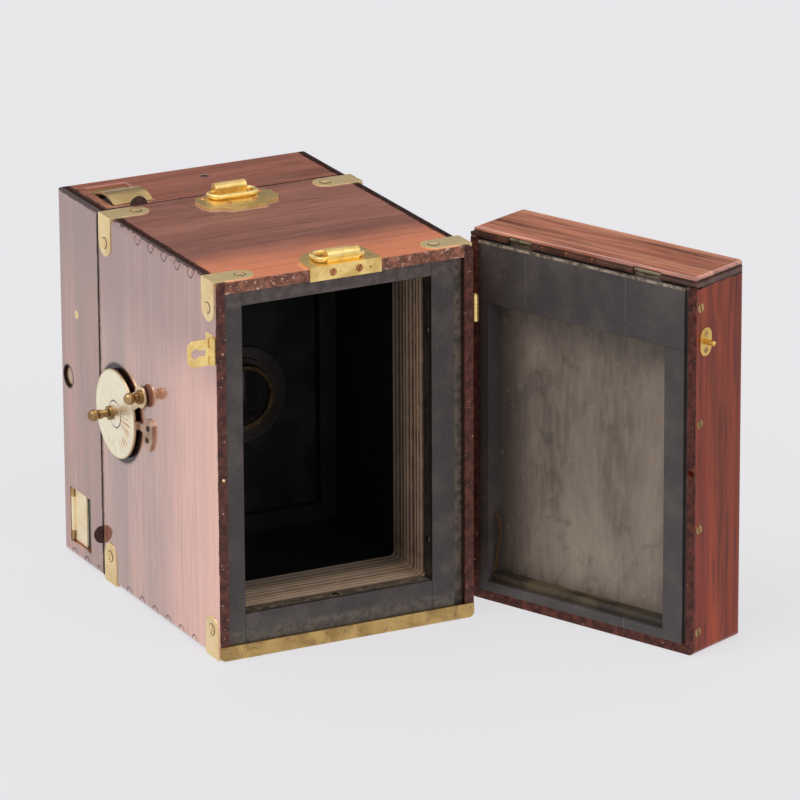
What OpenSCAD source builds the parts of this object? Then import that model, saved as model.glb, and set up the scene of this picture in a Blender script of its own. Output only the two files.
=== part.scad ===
// Wooden box camera of the detective kind, with its lift-off back standing beside it.
// Frame: X across the camera (+X is the side with the focusing disc), -Y the way the
// lens looks, +Z up. The origin lies on the base, under the middle of the main case.
// The modules draw from the rear plane of the main case, and placed() moves them.

/* [Case] */
// Width of the case over its side boards
case_w = 144; // [130:1:180]
// Height of the case
case_h = 200; // [185:1:240]
// Depth of the main case behind the seam
case_d = 141; // [136:1:180]
// Thickness of the side boards
side_t = 5; // [4:0.5:6]
// Thickness of the top and bottom boards
top_t = 6; // [5:0.5:8]
// Radius on the long edges of the case
edge_r = 3; // [1.5:0.5:4]

/* [Rear frame and bellows] */
// Width of the light opening in the rear frame
opening_w = 106; // [90:1:108]
// Height of the light opening in the rear frame
opening_h = 163.5; // [140:0.5:165]
// Height of the opening above the base
opening_z = 23; // [20:1:26]
// Distance of the opening's middle from the middle of the case
opening_x = 4.2; // [0:0.1:5]
// Thickness of the rear frame
frame_t = 9; // [7:0.5:11]
// Number of folds in the bellows
folds = 9; // [6:1:12]
// Length of the closed bellows
bellows_len = 34.5; // [28:0.5:38]
// Depth of a bellows fold
fold_d = 6.5; // [4:0.5:7]

/* [Lens carriage] */
// Thickness of the carriage walls
carriage_t = 5; // [4:0.5:5.5]
// Length of the carriage from its rear edge to the front of the lens board
carriage_len = 78; // [70:1:84]
// Thickness of the lens board
lens_board_t = 6; // [4:0.5:8]
// Height of the lens axis
lens_z = 97; // [92:1:104]
// Outside diameter of the lens barrel
barrel_d = 35; // [28:1:38]
// Length of the lens barrel
barrel_len = 41; // [36:1:44]
// Focusing travel of the carriage
travel = 16; // [10:1:16]

/* [Focusing disc] */
// Diameter of the disc
disc_d = 47; // [40:1:50]
// Radius from the disc's axis to the knob on its lug
lug_reach = 36; // [32:1:38]
// Diameter of the hollow spindle
spindle_d = 7; // [6:0.5:8]
// Distance of the disc's axis in front of the rear plane
disc_y = 117; // [110:1:117]
// Teeth of the pinion
pinion_teeth = 14; // [12:1:16]
// Module of the pinion and rack
gear_mod = 0.6; // [0.5:0.05:0.65]

/* [Front section] */
// Depth of the front section
front_d = 50; // [46:1:60]
// Gap at the seam
seam = 1; // [0.8:0.1:1.5]
// Thickness of the front panel
panel_t = 7; // [5:0.5:8]
// Diameter of the lens opening in the front panel
port_d = 36; // [30:1:40]
// Width of the finder opening in the top
finder_w = 23; // [20:1:25]
// Diameter of the release button
button_d = 11.4; // [9:0.2:12]

/* [Back] */
// Depth of the back
back_d = 40; // [36:1:50]
// Depth of the recess for the plate holder
recess_d = 10; // [6:0.5:11]
// Width of the recess
recess_w = 113; // [100:1:114]
// Height of the recess
recess_h = 151; // [135:1:152]
// Thickness of the hinged lid
lid_t = 5; // [4:0.5:6]

/* [Hidden] */
$fn = 48;

// Running clearance on a radius, and the gap between faces that slide
fit = 0.05;
slip = 0.1;
// Clearance between soft or curved parts of different bodies
clear = 0.3;
brass_t = 1.2;      // thickness of the brass plates
proud = 0.4;        // how far a let-in plate stands above the wood
half_w = case_w / 2;
in_x = half_w - side_t;
in_top = case_h - top_t;
// Rear frame
frame_back = -1.5;
frame_front = frame_back - frame_t;
open_lo = opening_x - opening_w / 2;
open_hi = opening_x + opening_w / 2;
open_top = opening_z + opening_h;
groove_w = 5.5;
// Carriage
car_rear = frame_front - bellows_len - slip;
car_front = car_rear - carriage_len;
board_rear = car_front + lens_board_t;
// Focusing gear
disc_z = lens_z + 1;
pitch_r = gear_mod * pinion_teeth / 2;
pinion_w = 3;
disc_under = half_w + 1.4;
disc_t = 1.8;
lug_angle = 30.6;
arbor_d = 4;
clamp_d = 13.5;
ball_d = 6.3;
// Seam and front section
seam_y = -case_d - seam;
front_y = seam_y - front_d;
// Brackets
br_w = 14.4;
br_top = 25;
br_side = 22;
br_screw_d = 5.9;
// Hasps
hasp_z = 165.5;
hasp_h = 13.8;
hasp_len = 13.5;
hasp_barrel_d = 4;
hasp_pin_d = 1.8;
hasp_off = 2.4;
hasp_left_y = -0.4;
hasp_right_y = -2.8;
stud_reach = 9;
hasp_root = hasp_barrel_d / 2 + clear;
// Strap rings
ring_wire = 2.6;
ring_len = 28;
ring_front_deep = 11.8;
ring_rear_deep = 14.6;
ring_r1 = 3.2;       // bend radius beside the tube
ring_r2 = 4.6;       // bend radius at the free side
tube_d = 5.6;
tube_len = 17.8;
tube_neck = 3.2;     // thickness of the neck between the plate and the tube
ring_z = case_h + brass_t + ring_wire / 2 + clear;
tube_z = ring_z + 2.2;
// Back: the closed back turns about a vertical line to the place where it stands
back_gap = 0.8;
sill_screw_d = 2.6;
sill_head = back_gap - proud - slip;
stand_x = -half_w + 2.93;
stand_y = -18.14;
stand_turn = 113.69;
recess_u = 11.4;
recess_z = 10.2;
frame_in = 6.5;
channel = 2;
lid_hinge_u = [31, 112];
lid_pin_d = 1.2;
lid_barrel_d = 3;
// Middle of each bracket along the case
bracket_y = [-2.2 - br_w / 2, -case_d + 1.5 + br_w / 2];
// Sill strip: height, and the places of its screws across and up
sill_h = 7.6;
sill_screw_x = [[67, 4.4], [61, 1.9], [20, 1.9], [-21, 2.2], [-45, 3.2], [-61, 2.2], [-69, 4.9]];
// Handle plates, their rings and their pins
plate_w = 43.5;
plate_l = 30;
plate_y = -case_d + 0.5 + plate_l / 2;
ring_front_y = plate_y - plate_l / 2 + 5.6;
ring_rear_y = -4.4;
front_pins = [[16, -6.5], [7.5, 6.1], [-7.5, 6.1], [-16, -6.5]];
flange_w = 40;
flange_h = 6.4;
rear_plate_l = 22;
flange_screw_x = [7.2, -7.5];
// Hasp leaf, and the line of the hasp pins beside the case
hasp_leaf_l = 12;
hasp_x = half_w + hasp_off;
// Locating pin in the rim of the left side
pin_in = 2.6;
pin_z = 97;
pin_d = 1.8;
// Lens: its axis, and the flange with its raised ring
lens_x = opening_x;
flange_d = barrel_d + 18;
flange_t = 1.2;
flange_screw_d = 3;
flange_ring_d = barrel_d + 6;
flange_screw_r = flange_d / 2 - 2.8;
// Ends of the lens barrel
barrel_rear = board_rear + 6;
barrel_front = barrel_rear - barrel_len;
// Rack and pinion: outer face of the carriage, tooth sizes, depths as shares of the module
side_x = open_hi + carriage_t;
rack_pitch = PI * gear_mod;
backlash = 0.3;
tooth_half = (rack_pitch - backlash) / 4;
flank = tan(20) * gear_mod;
tip_m = 0.9;
root_m = 1.25;
rack_teeth = ceil(travel / rack_pitch) + 4;
// Bush and rivet of the focusing spindle
bush_d = 10;
bush_flange_d = 14;
rivet_head_d = 5.8;
pinion_x = side_x + 0.7;
// Lug, clamping disc and click spring
lug_r = 6;
clamp_face = disc_under + disc_t + 0.2;
clamp_knob_at = [-5.2, -0.8];
click_at = [-81, 97.2];
click_rivets = [[0.6, 3.4], [-0.5, -3.2]];
// Finder openings in the top and in the left side
finder_x1 = 60.5;
finder_x0 = finder_x1 - finder_w;
finder_y1 = seam_y - 4;
finder_deep = 36;
finder_y0 = finder_y1 - finder_deep;
side_win_y = [-183, -157];
side_win_z = [8, 38];
// Place of the release button
button_y = -182;
button_z = 99;
// Light holes of the finders in the front panel
finder_hole_d = 13;
top_finder = [(finder_x0 + finder_x1) / 2, in_top - finder_deep / 2];
side_finder = [in_x - (side_win_y[1] - side_win_y[0]) / 2, (side_win_z[0] + side_win_z[1]) / 2];
// Leather tabs
tab_t = 0.8;
// Front hinges on the right side
front_hinge_z = [48, 152];
front_hinge_h = 28;
front_hinge_leaf = 13;
hinge_leaf_t = 1;
front_barrel_d = 3.8;
front_pin_d = 1.6;
front_leaf_screw_d = 2.2;
front_leaf_screw_z = [6, front_hinge_h - 6];
front_axis_x = -half_w - 1.9;
front_axis_y = -case_d - seam / 2;
// Finder boxes: walls, sloping back, and the glass on it
box_t = 2;
slope_t = 4;
glass_t = 1.5;
// Finder lids and their hinges
finder_barrel_d = 2.4;
finder_pin_d = 1.2;
finder_knuckle = 5;
lid_sheet = 1;
top_lid_y = finder_y0 + 10;
top_lid_z = case_h - 1.2;
side_lid_x = half_w - 1.3;
side_lid_y = side_win_y[0] + 1.3;
side_lid_len = 16;
// Shutter board and blade
shutter_y = front_y + 16;
shutter_t = 4;
shutter_x1 = finder_x0 - 8;
shutter_pivot_z = lens_z + 39;
shutter_pin_d = 3;
blade_t = 1.2;
blade_r = 20;
at_hole_d = 32;
// Outer face of the release button
button_face = half_w - 1;
button_pocket = 5;
// Lid of the back and the line of its hinges
lid_z = case_h - lid_t;
lid_axis_t = 3;
lid_axis_z = case_h - 3;
lid_roll = 3;
lid_slab = 2.6;    // height of the upper slab of the lid, which is set back
lid_step = 1.4;    // how far its edge is set back
// Back: frame, divider, rear panel and bottom board
frame_depth = recess_d;
divider_t = 2.5;
rear_t = 6;
back_bottom_t = 5;
// Rails and stiles of the frame in the back
rail_z = recess_z + recess_h;
stile_u = case_w - side_t - channel - 0.5;
recess_u1 = recess_u + recess_w;
rail_top = lid_z - 1;
rail_joints = [35.6, 99.5];
// Lengths of the two lid hinges
lid_hinge_len = [14, 17];
// Studs for the hasps
stud_z = hasp_z;
stud_t = [hasp_right_y + stud_reach - back_gap, hasp_left_y + stud_reach - back_gap];
stud_d = 2.8;
stud_out = 6.2;
// Screws in the ends of the back, and the spring in the recess
back_screw_z = [12, 67, 123, 184];
back_screw_t = 3.7;
back_screw_d = 4.8;
stud_screw_d = 3.2;
stud_screw_x = 4.4;
spring_w = 1.2;
spring_foot = 2;
// Thickness of the bellows leather
leather_t = 1.2;

// Rounded rectangle of true arcs, lying in XY with its corner at the origin
module round_rect(w, h, r) {
    translate([r, 0]) square([w - 2 * r, h]);
    translate([0, r]) square([w, h - 2 * r]);
    for (x = [r, w - r], y = [r, h - r]) translate([x, y]) circle(r);
}
// Box between two corners
module block(a, b) { translate(a) cube(b - a); }
// Prism that runs along Y from y0 to y1, with the outline of the camera's body
module body_prism(y0, y1) {
    translate([-half_w, y1, 0]) rotate([90, 0, 0])
        linear_extrude(y1 - y0) round_rect(case_w, case_h, edge_r);
}
// Cylinders along X and Y, from a start point
module xrod(p, d, len) { translate(p) rotate([0, 90, 0]) cylinder(d = d, h = len); }
module yrod(p, d, len) { translate(p) rotate([-90, 0, 0]) cylinder(d = d, h = len); }
// Countersunk slotted screw: head flush with the XY plane, shank down -Z
module wood_screw(d, len, turn = 0) {
    difference() {
        union() {
            translate([0, 0, -0.9]) cylinder(d = d, h = 1.1);
            translate([0, 0, -len]) cylinder(d = d / 2, h = len - 0.8);
        }
        rotate(turn) translate([-d, -0.35, -0.25]) cube([2 * d, 0.7, 1]);
    }
}
// Hole that a wood screw drops into
module screw_seat(d, len) {
    translate([0, 0, -0.9]) cylinder(d = d, h = 2.5);
    translate([0, 0, -len]) cylinder(d = d / 2, h = len);
}

// Brackets wrap the four long edges at both ends of the case
module at_brackets() {
    for (y = bracket_y, sx = [-1, 1], sz = [0, 1]) {
        $lift = sz == 1 ? proud : 0;
        translate([0, y, sz * case_h]) to_edge(sx, sz) children();
    }
}
// Mirrors a fitting from the top left edge to another edge
module to_edge(sx, sz) {
    mirror([sx < 0 ? 1 : 0, 0, 0]) mirror([0, 0, sz == 0 ? 1 : 0]) children();
}
// Round-ended plate in the XY plane, from x = 0 to x = len
module strap(len, w, t) {
    translate([0, -w / 2, 0]) cube([len - w / 2, w, t]);
    translate([len - w / 2, 0, 0]) cylinder(d = w, h = t);
}
// Top arm and side arm, let into the wood all but a little; $lift is how far the top arm stands up
module bracket_shape() {
    translate([half_w + proud, 0, $lift - brass_t]) mirror([1, 0, 0]) strap(br_top, br_w, brass_t);
    translate([half_w + proud - brass_t, 0, $lift]) rotate([0, 90, 0])
        strap(br_side, br_w, brass_t);
}
module bracket_screws_at() {
    translate([half_w - br_top + br_w / 2, 0, $lift]) children();
    translate([half_w + proud, 0, $lift - br_side + br_w / 2]) rotate([0, 90, 0]) children();
}
module bracket_cuts() {
    at_brackets() {
        bracket_shape();
        bracket_screws_at() translate([0, 0, -side_t]) cylinder(d = br_screw_d / 2, h = side_t);
    }
}
module corner_brackets() color([0.78, 0.62, 0.30]) at_brackets() difference() {
    bracket_shape();
    bracket_screws_at() screw_seat(br_screw_d, 3);
}
module bracket_screws() color([0.70, 0.54, 0.26]) at_brackets()
    bracket_screws_at() wood_screw(br_screw_d, side_t - 0.3, 25);

// Case boards
module sill_cut() { block([-half_w - 1, -1, -1], [half_w + 1, 1, sill_h]); }
module case_side(sx) {
    difference() {
        intersection() {
            body_prism(-case_d, 0);
            if (sx > 0) block([in_x, -case_d, 0], [half_w, 0, case_h]);
            else block([-half_w, -case_d, 0], [-in_x, 0, case_h]);
        }
        bracket_cuts();
        sill_cut();
        hasp_cut(sx);
        fitting_holes();
    }
}
module case_left_side() color([0.45, 0.16, 0.10]) difference() {
    case_side(1);
    xrod([in_x - 1, -disc_y, disc_z], bush_d, side_t + 2);
    xrod([half_w - 1, -disc_y, disc_z], bush_flange_d, 2);
    yrod([half_w - pin_in, -4, pin_z], pin_d, 5);
}
module case_right_side() color([0.45, 0.16, 0.10]) difference() {
    case_side(-1);
    front_hinge_cuts(1);
}
module case_board(z0, z1) {
    difference() {
        block([-in_x, -case_d, z0], [in_x, 0, z1]);
        bracket_cuts();
        sill_cut();
        fitting_holes();
    }
}
module case_top() color([0.50, 0.18, 0.11]) case_board(in_top, case_h);
module case_bottom() color([0.45, 0.16, 0.10]) case_board(0, top_t);

// Rear frame: two stiles, two rails and the rough strip beside the right stile
module rear_frame() color([0.08, 0.08, 0.08]) difference() {
    union() {
        block([open_hi, frame_front, top_t], [in_x, frame_back, in_top]);
        block([-in_x + groove_w, frame_front, top_t], [open_lo, frame_back, in_top]);
        block([open_lo, frame_front, top_t], [open_hi, frame_back, opening_z]);
        block([open_lo, frame_front, open_top], [open_hi, frame_back, in_top]);
        block([-in_x, frame_front, top_t], [-in_x + groove_w, frame_back - 2.5, in_top]);
    }
    frame_screws_at() translate([0, 0, -5]) cylinder(d = 1.6, h = 5);
}
// Screws in the inner faces of the frame, which hold the bellows
module frame_screws_at() {
    ym = (frame_back + frame_front) / 2;
    for (z = [opening_z + 21, open_top - 30]) {
        translate([open_lo, ym, z]) rotate([0, 90, 0]) children();
        translate([open_hi, ym, z]) rotate([0, -90, 0]) children();
    }
    translate([opening_x, ym, opening_z]) children();
    translate([opening_x, ym, open_top]) rotate([180, 0, 0]) children();
}
module round_screw(d, shank, len) {
    intersection() {
        translate([0, 0, -d * 0.32]) sphere(d = d * 1.2);
        cylinder(d = d, h = d);
    }
    translate([0, 0, -len]) cylinder(d = shank, h = len + 0.1);
}
// Low domed head: a cap of a true sphere, d across and rise high
module low_head(d, rise) {
    r = (d * d / 4 + rise * rise) / (2 * rise);
    intersection() {
        translate([0, 0, rise - r]) sphere(r);
        cylinder(d = d + 1, h = rise + 1);
    }
}
module sill_screws_at() {
    for (p = sill_screw_x) translate([p[0] * case_w / 144, proud, p[1]]) rotate([-90, 0, 0]) children();
}
module frame_screws() color([0.5, 0.42, 0.25]) {
    frame_screws_at() round_screw(3.8, 1.6, 4);
    sill_screws_at() {
        low_head(sill_screw_d, sill_head);
        translate([0, 0, -4.5]) cylinder(d = 1.4, h = 4.6);
    }
}
module sill_strip() color([0.62, 0.46, 0.20]) difference() {
    intersection() {
        block([-half_w, -1, 0.1], [half_w, proud, sill_h]);
        translate([0, 0, -edge_r]) body_prism(-2, 2);
        body_prism(-2, 2);
    }
    sill_screws_at() translate([0, 0, -5]) cylinder(d = 1.4, h = 6);
}

// Handle plates: a stepped outline on the top, and an angle plate over the rear edge
module stepped_plate() {
    step = 4.5;
    polygon([for (s = [[1, 1], [-1, 1], [-1, -1], [1, -1]])
        for (p = s[0] * s[1] > 0 ? [0, 1, 2, 3] : [3, 2, 1, 0])
            [s[0] * [plate_w / 2, plate_w / 2 - step / 2, 14, 10][p],
             s[1] * [4.5, 9, 10.5, plate_l / 2][p]]]);
}
module ring_tube(y) {
    difference() {
        union() {
            xrod([-tube_len / 2, y, tube_z], tube_d, tube_len);
            xrod([-tube_len / 2, y, ring_z], ring_wire + 1.8, tube_len);
            block([-tube_len / 2, y - tube_neck / 2, case_h + brass_t - 0.2],
                [tube_len / 2, y + tube_neck / 2, tube_z]);
        }
        xrod([-tube_len / 2 - 1, y, ring_z], ring_wire + 2 * fit, tube_len + 2);
    }
}
module front_pins_at() {
    for (p = front_pins) translate([p[0], plate_y + p[1], case_h + brass_t]) children();
}
module handle_plate_front() color([0.80, 0.62, 0.26]) difference() {
    union() {
        translate([0, plate_y, case_h]) linear_extrude(brass_t) stepped_plate();
        ring_tube(ring_front_y);
    }
    front_pins_at() translate([0, 0, -6]) cylinder(d = 1.6, h = 7);
}
module rear_screws_at() {
    for (x = flange_screw_x)
        translate([x, proud, case_h - flange_h / 2 + 0.5]) rotate([-90, 0, 0]) children();
}
module handle_plate_rear() color([0.80, 0.66, 0.30]) difference() {
    union() {
        translate([0, 0, case_h]) linear_extrude(brass_t)
            polygon([[flange_w / 2, proud], [flange_w / 2, -rear_plate_l + 9],
                [flange_w / 2 - 7, -rear_plate_l],
                [-flange_w / 2 + 1, -rear_plate_l], [-flange_w / 2, proud]]);
        block([-flange_w / 2, proud - brass_t, case_h - flange_h], [flange_w / 2, proud, case_h + 0.2]);
        ring_tube(ring_rear_y);
    }
    rear_screws_at() screw_seat(4, 3);
    translate([-13.8, -2, case_h - 3]) rotate([-90, 0, 0]) cylinder(d = 1, h = 4);
}
module fitting_screws() color([0.55, 0.35, 0.22]) {
    front_pins_at() round_screw(3, 1.6, 5);
    rear_screws_at() wood_screw(4, 6, 70);
    click_rivets_at() round_screw(3.4, 1.6, 4);
}
// Holes in the case boards for the pins, the rivets and the rear plate
module fitting_holes() {
    front_pins_at() translate([0, 0, -6]) cylinder(d = 1.6, h = 6);
    rear_screws_at() translate([0, 0, -7]) cylinder(d = 2, h = 7);
    block([-flange_w / 2, proud - brass_t, case_h - flange_h], [flange_w / 2, 1, case_h + 1]);
    click_rivets_at() translate([0, 0, -4.5]) cylinder(d = 1.6, h = 4.5);
    sill_screws_at() translate([0, 0, -5]) cylinder(d = 1.4, h = 5);
}
// Strap ring: a wire loop whose straight side turns below the tube; s is +1 when it lies rearwards
module wire_bend(x, y, r, a) {
    translate([x, y]) rotate([0, 0, a]) rotate_extrude(angle = 90) translate([r, 0]) circle(d = ring_wire);
}
module strap_ring(y, s, length) {
    half = ring_len / 2 - ring_wire / 2;
    deep = length - ring_wire;
    translate([0, y, ring_z]) mirror([0, s < 0 ? 1 : 0, 0]) for (m = [0, 1]) mirror([m, 0, 0]) {
        xrod([0, 0, 0], ring_wire, half - ring_r1);
        wire_bend(half - ring_r1, ring_r1, ring_r1, -90);
        yrod([half, ring_r1, 0], ring_wire, deep - ring_r1 - ring_r2);
        wire_bend(half - ring_r2, deep - ring_r2, ring_r2, 0);
        xrod([0, deep, 0], ring_wire, half - ring_r2);
    }
}
module ring_front() color([0.82, 0.66, 0.30]) strap_ring(ring_front_y, 1, ring_front_deep);
module ring_rear() color([0.82, 0.66, 0.30]) strap_ring(ring_rear_y, -1, ring_rear_deep);

// Hasps: a leaf let into the side carries the barrel, and the keyhole plate turns on its pin
function hasp_y(sx) = sx > 0 ? hasp_left_y : hasp_right_y;
module hasp_leaf_shape(sx) {
    block([half_w - 1, hasp_y(sx) - hasp_leaf_l, hasp_z - hasp_h / 2],
        [half_w + 0.2, hasp_y(sx) - 0.8, hasp_z + hasp_h / 2]);
}
module hasp_cut(sx) { mirror([sx < 0 ? 1 : 0, 0, 0]) hasp_leaf_shape(sx); }
module hasp_hinges() color([0.80, 0.62, 0.26]) for (sx = [-1, 1]) mirror([sx < 0 ? 1 : 0, 0, 0]) {
    third = hasp_h / 3;
    y = hasp_y(sx);
    difference() {
        union() {
            hasp_leaf_shape(sx);
            for (z = [0, 2]) translate([hasp_x, y, hasp_z - hasp_h / 2 + z * third]) {
                cylinder(d = hasp_barrel_d, h = third - slip);
                translate([-hasp_off, -hasp_barrel_d / 2, 0])
                    cube([hasp_off, hasp_barrel_d / 2 - 0.2, third - slip]);
            }
        }
        translate([hasp_x, y, hasp_z - hasp_h]) cylinder(d = hasp_pin_d, h = 2 * hasp_h);
    }
    translate([hasp_x, y, hasp_z - hasp_h / 2]) cylinder(d = hasp_pin_d, h = hasp_h + 0.6);
}
// Plate drawn along +X from its pin, with the keyhole for the stud
module hasp_plate() {
    third = hasp_h / 3;
    key_d = 5.2;
    difference() {
        union() {
            translate([0, -0.5, -hasp_h / 2]) rotate([90, 0, 0]) mirror([0, 0, 1]) linear_extrude(1)
                polygon([[hasp_root, 0], [hasp_len - 2.5, 0], [hasp_len, 2.5], [hasp_len, hasp_h - 2.5],
                    [hasp_len - 2.5, hasp_h], [hasp_root, hasp_h]]);
            translate([0, 0, -third / 2]) cylinder(d = hasp_barrel_d, h = third - slip);
            translate([0, -0.5, -third / 2]) cube([hasp_root + 0.4, 1, third - slip]);
        }
        translate([0, 0, -third]) cylinder(d = hasp_pin_d + 2 * fit, h = 2 * third);
        yrod([stud_reach, -2, 0], key_d, 4);
        block([3.4, -1, -1.5], [stud_reach, 1, 1.5]);
    }
}
module hasp_plate_left() color([0.85, 0.70, 0.30])
    translate([hasp_x, hasp_left_y, hasp_z]) hasp_plate();
module hasp_plate_right() color([0.85, 0.70, 0.30])
    translate([-hasp_x, hasp_right_y, hasp_z]) rotate([0, 0, -90]) hasp_plate();

// Locating pin in the left rim
module locating_pin() color([0.80, 0.66, 0.34]) {
    yrod([half_w - pin_in, -4, pin_z], pin_d, 4.6);
    translate([half_w - pin_in, 0.6, pin_z]) sphere(d = pin_d);
}

// Bellows of folded leather between the rear frame and the carriage
module bellows() color([0.24, 0.19, 0.16]) {
    pitch = bellows_len / folds;
    translate([0, frame_front - bellows_len, 0]) collar(leather_t, 0, bellows_len);
    for (i = [1 : folds]) translate([0, frame_front - i * pitch, 0]) collar(fold_d, 0, pitch / 2);
}
// Rectangular collar round the light path, g thick, from y0 to y1
module collar(g, y0, y1) {
    difference() {
        block([open_lo - g, y0, opening_z - g], [open_hi + g, y1, open_top + g]);
        block([open_lo, y0 - 1, opening_z], [open_hi, y1 + 1, open_top]);
    }
}

// Lens carriage: an open box that slides on two runners
module carriage_runners() color([0.12, 0.10, 0.09])
    for (x = [open_lo + 8, open_hi - 16])
        block([x, -case_d + 2, top_t], [x + 8, car_rear - 1, opening_z - carriage_t - slip]);
module carriage_box() color([0.07, 0.07, 0.07]) {
    batten = 9;
    for (x = [open_lo - carriage_t, open_hi])
        block([x, car_front, opening_z - carriage_t], [x + carriage_t, car_rear, open_top + carriage_t]);
    for (z = [opening_z - carriage_t, open_top])
        block([open_lo, car_front, z], [open_hi, car_rear, z + carriage_t]);
    for (x = [open_lo, open_hi - batten])
        block([x, board_rear, opening_z], [x + batten, board_rear + 6, open_top]);
    for (z = [opening_z, open_top - batten])
        block([open_lo + batten, board_rear, z], [open_hi - batten, board_rear + 6, z + batten]);
}
module at_lens(y) { translate([lens_x, y, lens_z]) rotate([-90, 0, 0]) children(); }
module flange_screws_at() {
    for (a = [34 : 90 : 304])
        at_lens(board_rear + flange_t) rotate(-a) translate([flange_screw_r, 0, 0]) children();
}
module lens_board() color([0.09, 0.09, 0.09]) difference() {
    block([open_lo, car_front, opening_z], [open_hi, board_rear, open_top]);
    at_lens(car_front - 1) cylinder(d = barrel_d + 2 * fit, h = lens_board_t + 2);
    flange_screws_at() translate([0, 0, -6.5]) cylinder(d = flange_screw_d / 2, h = 6);
}
module lens_flange() color([0.10, 0.09, 0.08]) difference() {
    union() {
        at_lens(board_rear) cylinder(d = flange_d, h = flange_t);
        at_lens(board_rear) cylinder(d = flange_ring_d, h = 2.5);
    }
    at_lens(board_rear - 1) cylinder(d = barrel_d + 2 * fit, h = 5);
    flange_screws_at() screw_seat(flange_screw_d, 4);
}
module flange_screws() color([0.45, 0.40, 0.30]) flange_screws_at() wood_screw(flange_screw_d, 5, 40);
module lens_barrel() color([0.36, 0.27, 0.15]) at_lens(barrel_front) difference() {
    union() {
        cylinder(d = barrel_d, h = barrel_len);
        cylinder(d = barrel_d + 3, h = 6);
    }
    translate([0, 0, -1]) cylinder(d = barrel_d - 5, h = 7);
    translate([0, 0, barrel_len - 6]) cylinder(d = barrel_d - 5, h = 7);
    translate([0, 0, 5.9]) cylinder(d = barrel_d - 8, h = barrel_len - 11.8);
}
// Biconvex doublet of true spherical faces
module doublet(d, edge, bulge) {
    r = (d * d / 4 + bulge * bulge) / (2 * bulge);
    intersection() {
        cylinder(d = d, h = edge + 2 * bulge);
        translate([0, 0, r]) sphere(r);
        translate([0, 0, edge + 2 * bulge - r]) sphere(r);
    }
}
module lens_glasses() color([0.70, 0.80, 0.85, 0.5]) {
    at_lens(barrel_front + 1) doublet(barrel_d - 5, 2, 1.5);
    at_lens(barrel_rear - 6) doublet(barrel_d - 5, 2, 1.5);
}

// Rack on the carriage above the pinion: its teeth point down, one of them over the axis
// Extrudes a shape drawn in (Y, Z) along +X from x0
module side_plate(x0, len) { translate([x0, 0, 0]) rotate([90, 0, 90]) linear_extrude(len) children(); }
module focus_rack() color([0.70, 0.56, 0.28]) {
    pitch_z = disc_z + pitch_r;
    y0 = -disc_y - 2 * rack_pitch;
    last = rack_teeth - 1;
    side_plate(side_x, pinion_w + 0.5) polygon(concat(
        [[y0 - rack_pitch / 2, pitch_z + 5]],
        [[y0 - rack_pitch / 2, pitch_z + root_m * gear_mod]],
        [for (i = [0 : last]) each [
            [y0 + i * rack_pitch - tooth_half - root_m * flank, pitch_z + root_m * gear_mod],
            [y0 + i * rack_pitch - tooth_half + tip_m * flank, pitch_z - tip_m * gear_mod],
            [y0 + i * rack_pitch + tooth_half - tip_m * flank, pitch_z - tip_m * gear_mod],
            [y0 + i * rack_pitch + tooth_half + root_m * flank, pitch_z + root_m * gear_mod]]],
        [[y0 + (last + 0.5) * rack_pitch, pitch_z + root_m * gear_mod]],
        [[y0 + (last + 0.5) * rack_pitch, pitch_z + 5]]));
}

// Focusing disc with its lug, on a hollow spindle that ends in the pinion
module at_disc(x) { translate([x, -disc_y, disc_z]) rotate([0, 90, 0]) children(); }
module at_lug(x) {
    translate([x, -disc_y + lug_reach * cos(lug_angle), disc_z + lug_reach * sin(lug_angle)])
        rotate([0, 90, 0]) children();
}
module focus_bush() color([0.66, 0.52, 0.26]) difference() {
    union() {
        at_disc(in_x) cylinder(d = bush_d, h = side_t);
        at_disc(half_w - 1) cylinder(d = bush_flange_d, h = 2);
    }
    at_disc(in_x - 1) cylinder(d = spindle_d + 2 * fit, h = side_t + 4);
}
module focus_spindle() color([0.72, 0.58, 0.30]) difference() {
    union() {
        at_disc(pinion_x) cylinder(d = spindle_d, h = disc_under - pinion_x);
        side_plate(pinion_x, pinion_w) translate([-disc_y, disc_z]) pinion_outline();
    }
    at_disc(pinion_x - 1) cylinder(d = arbor_d + 2 * fit, h = disc_under - pinion_x + 2);
    at_disc(pinion_x - 1) cylinder(d = rivet_head_d + 0.3, h = 2);
}
module pinion_outline() {
    root_r = pitch_r - root_m * gear_mod;
    tip_r = pitch_r + tip_m * gear_mod;
    root_half = (tooth_half + root_m * flank * 0.5) / root_r * 180 / PI;
    tip_half = (tooth_half - tip_m * flank * 1.25) / tip_r * 180 / PI;
    polygon([for (i = [0 : pinion_teeth - 1]) let(a = 90 + (i + 0.5) * 360 / pinion_teeth) each [
        root_r * [cos(a - root_half), sin(a - root_half)], tip_r * [cos(a - tip_half), sin(a - tip_half)],
        tip_r * [cos(a + tip_half), sin(a + tip_half)], root_r * [cos(a + root_half), sin(a + root_half)]]]);
}
module focus_disc() color([0.85, 0.74, 0.45]) difference() {
    union() {
        at_disc(disc_under) cylinder(d = disc_d, h = disc_t, $fn = 96);
        at_lug(disc_under) cylinder(r = lug_r, h = disc_t);
        side_plate(disc_under, disc_t) translate([-disc_y, disc_z]) rotate(lug_angle)
            translate([disc_d / 2 - 4, -4.2]) square([lug_reach - disc_d / 2 + 4, 8.4]);
    }
    at_disc(disc_under - 1) cylinder(d = arbor_d + 2 * fit, h = 6);
    at_disc(disc_under + 0.6) cylinder(d = clamp_d + 2 * fit, h = 3);
    at_lug(disc_under - 1) cylinder(d = 2.4, h = 5);
}
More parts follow.
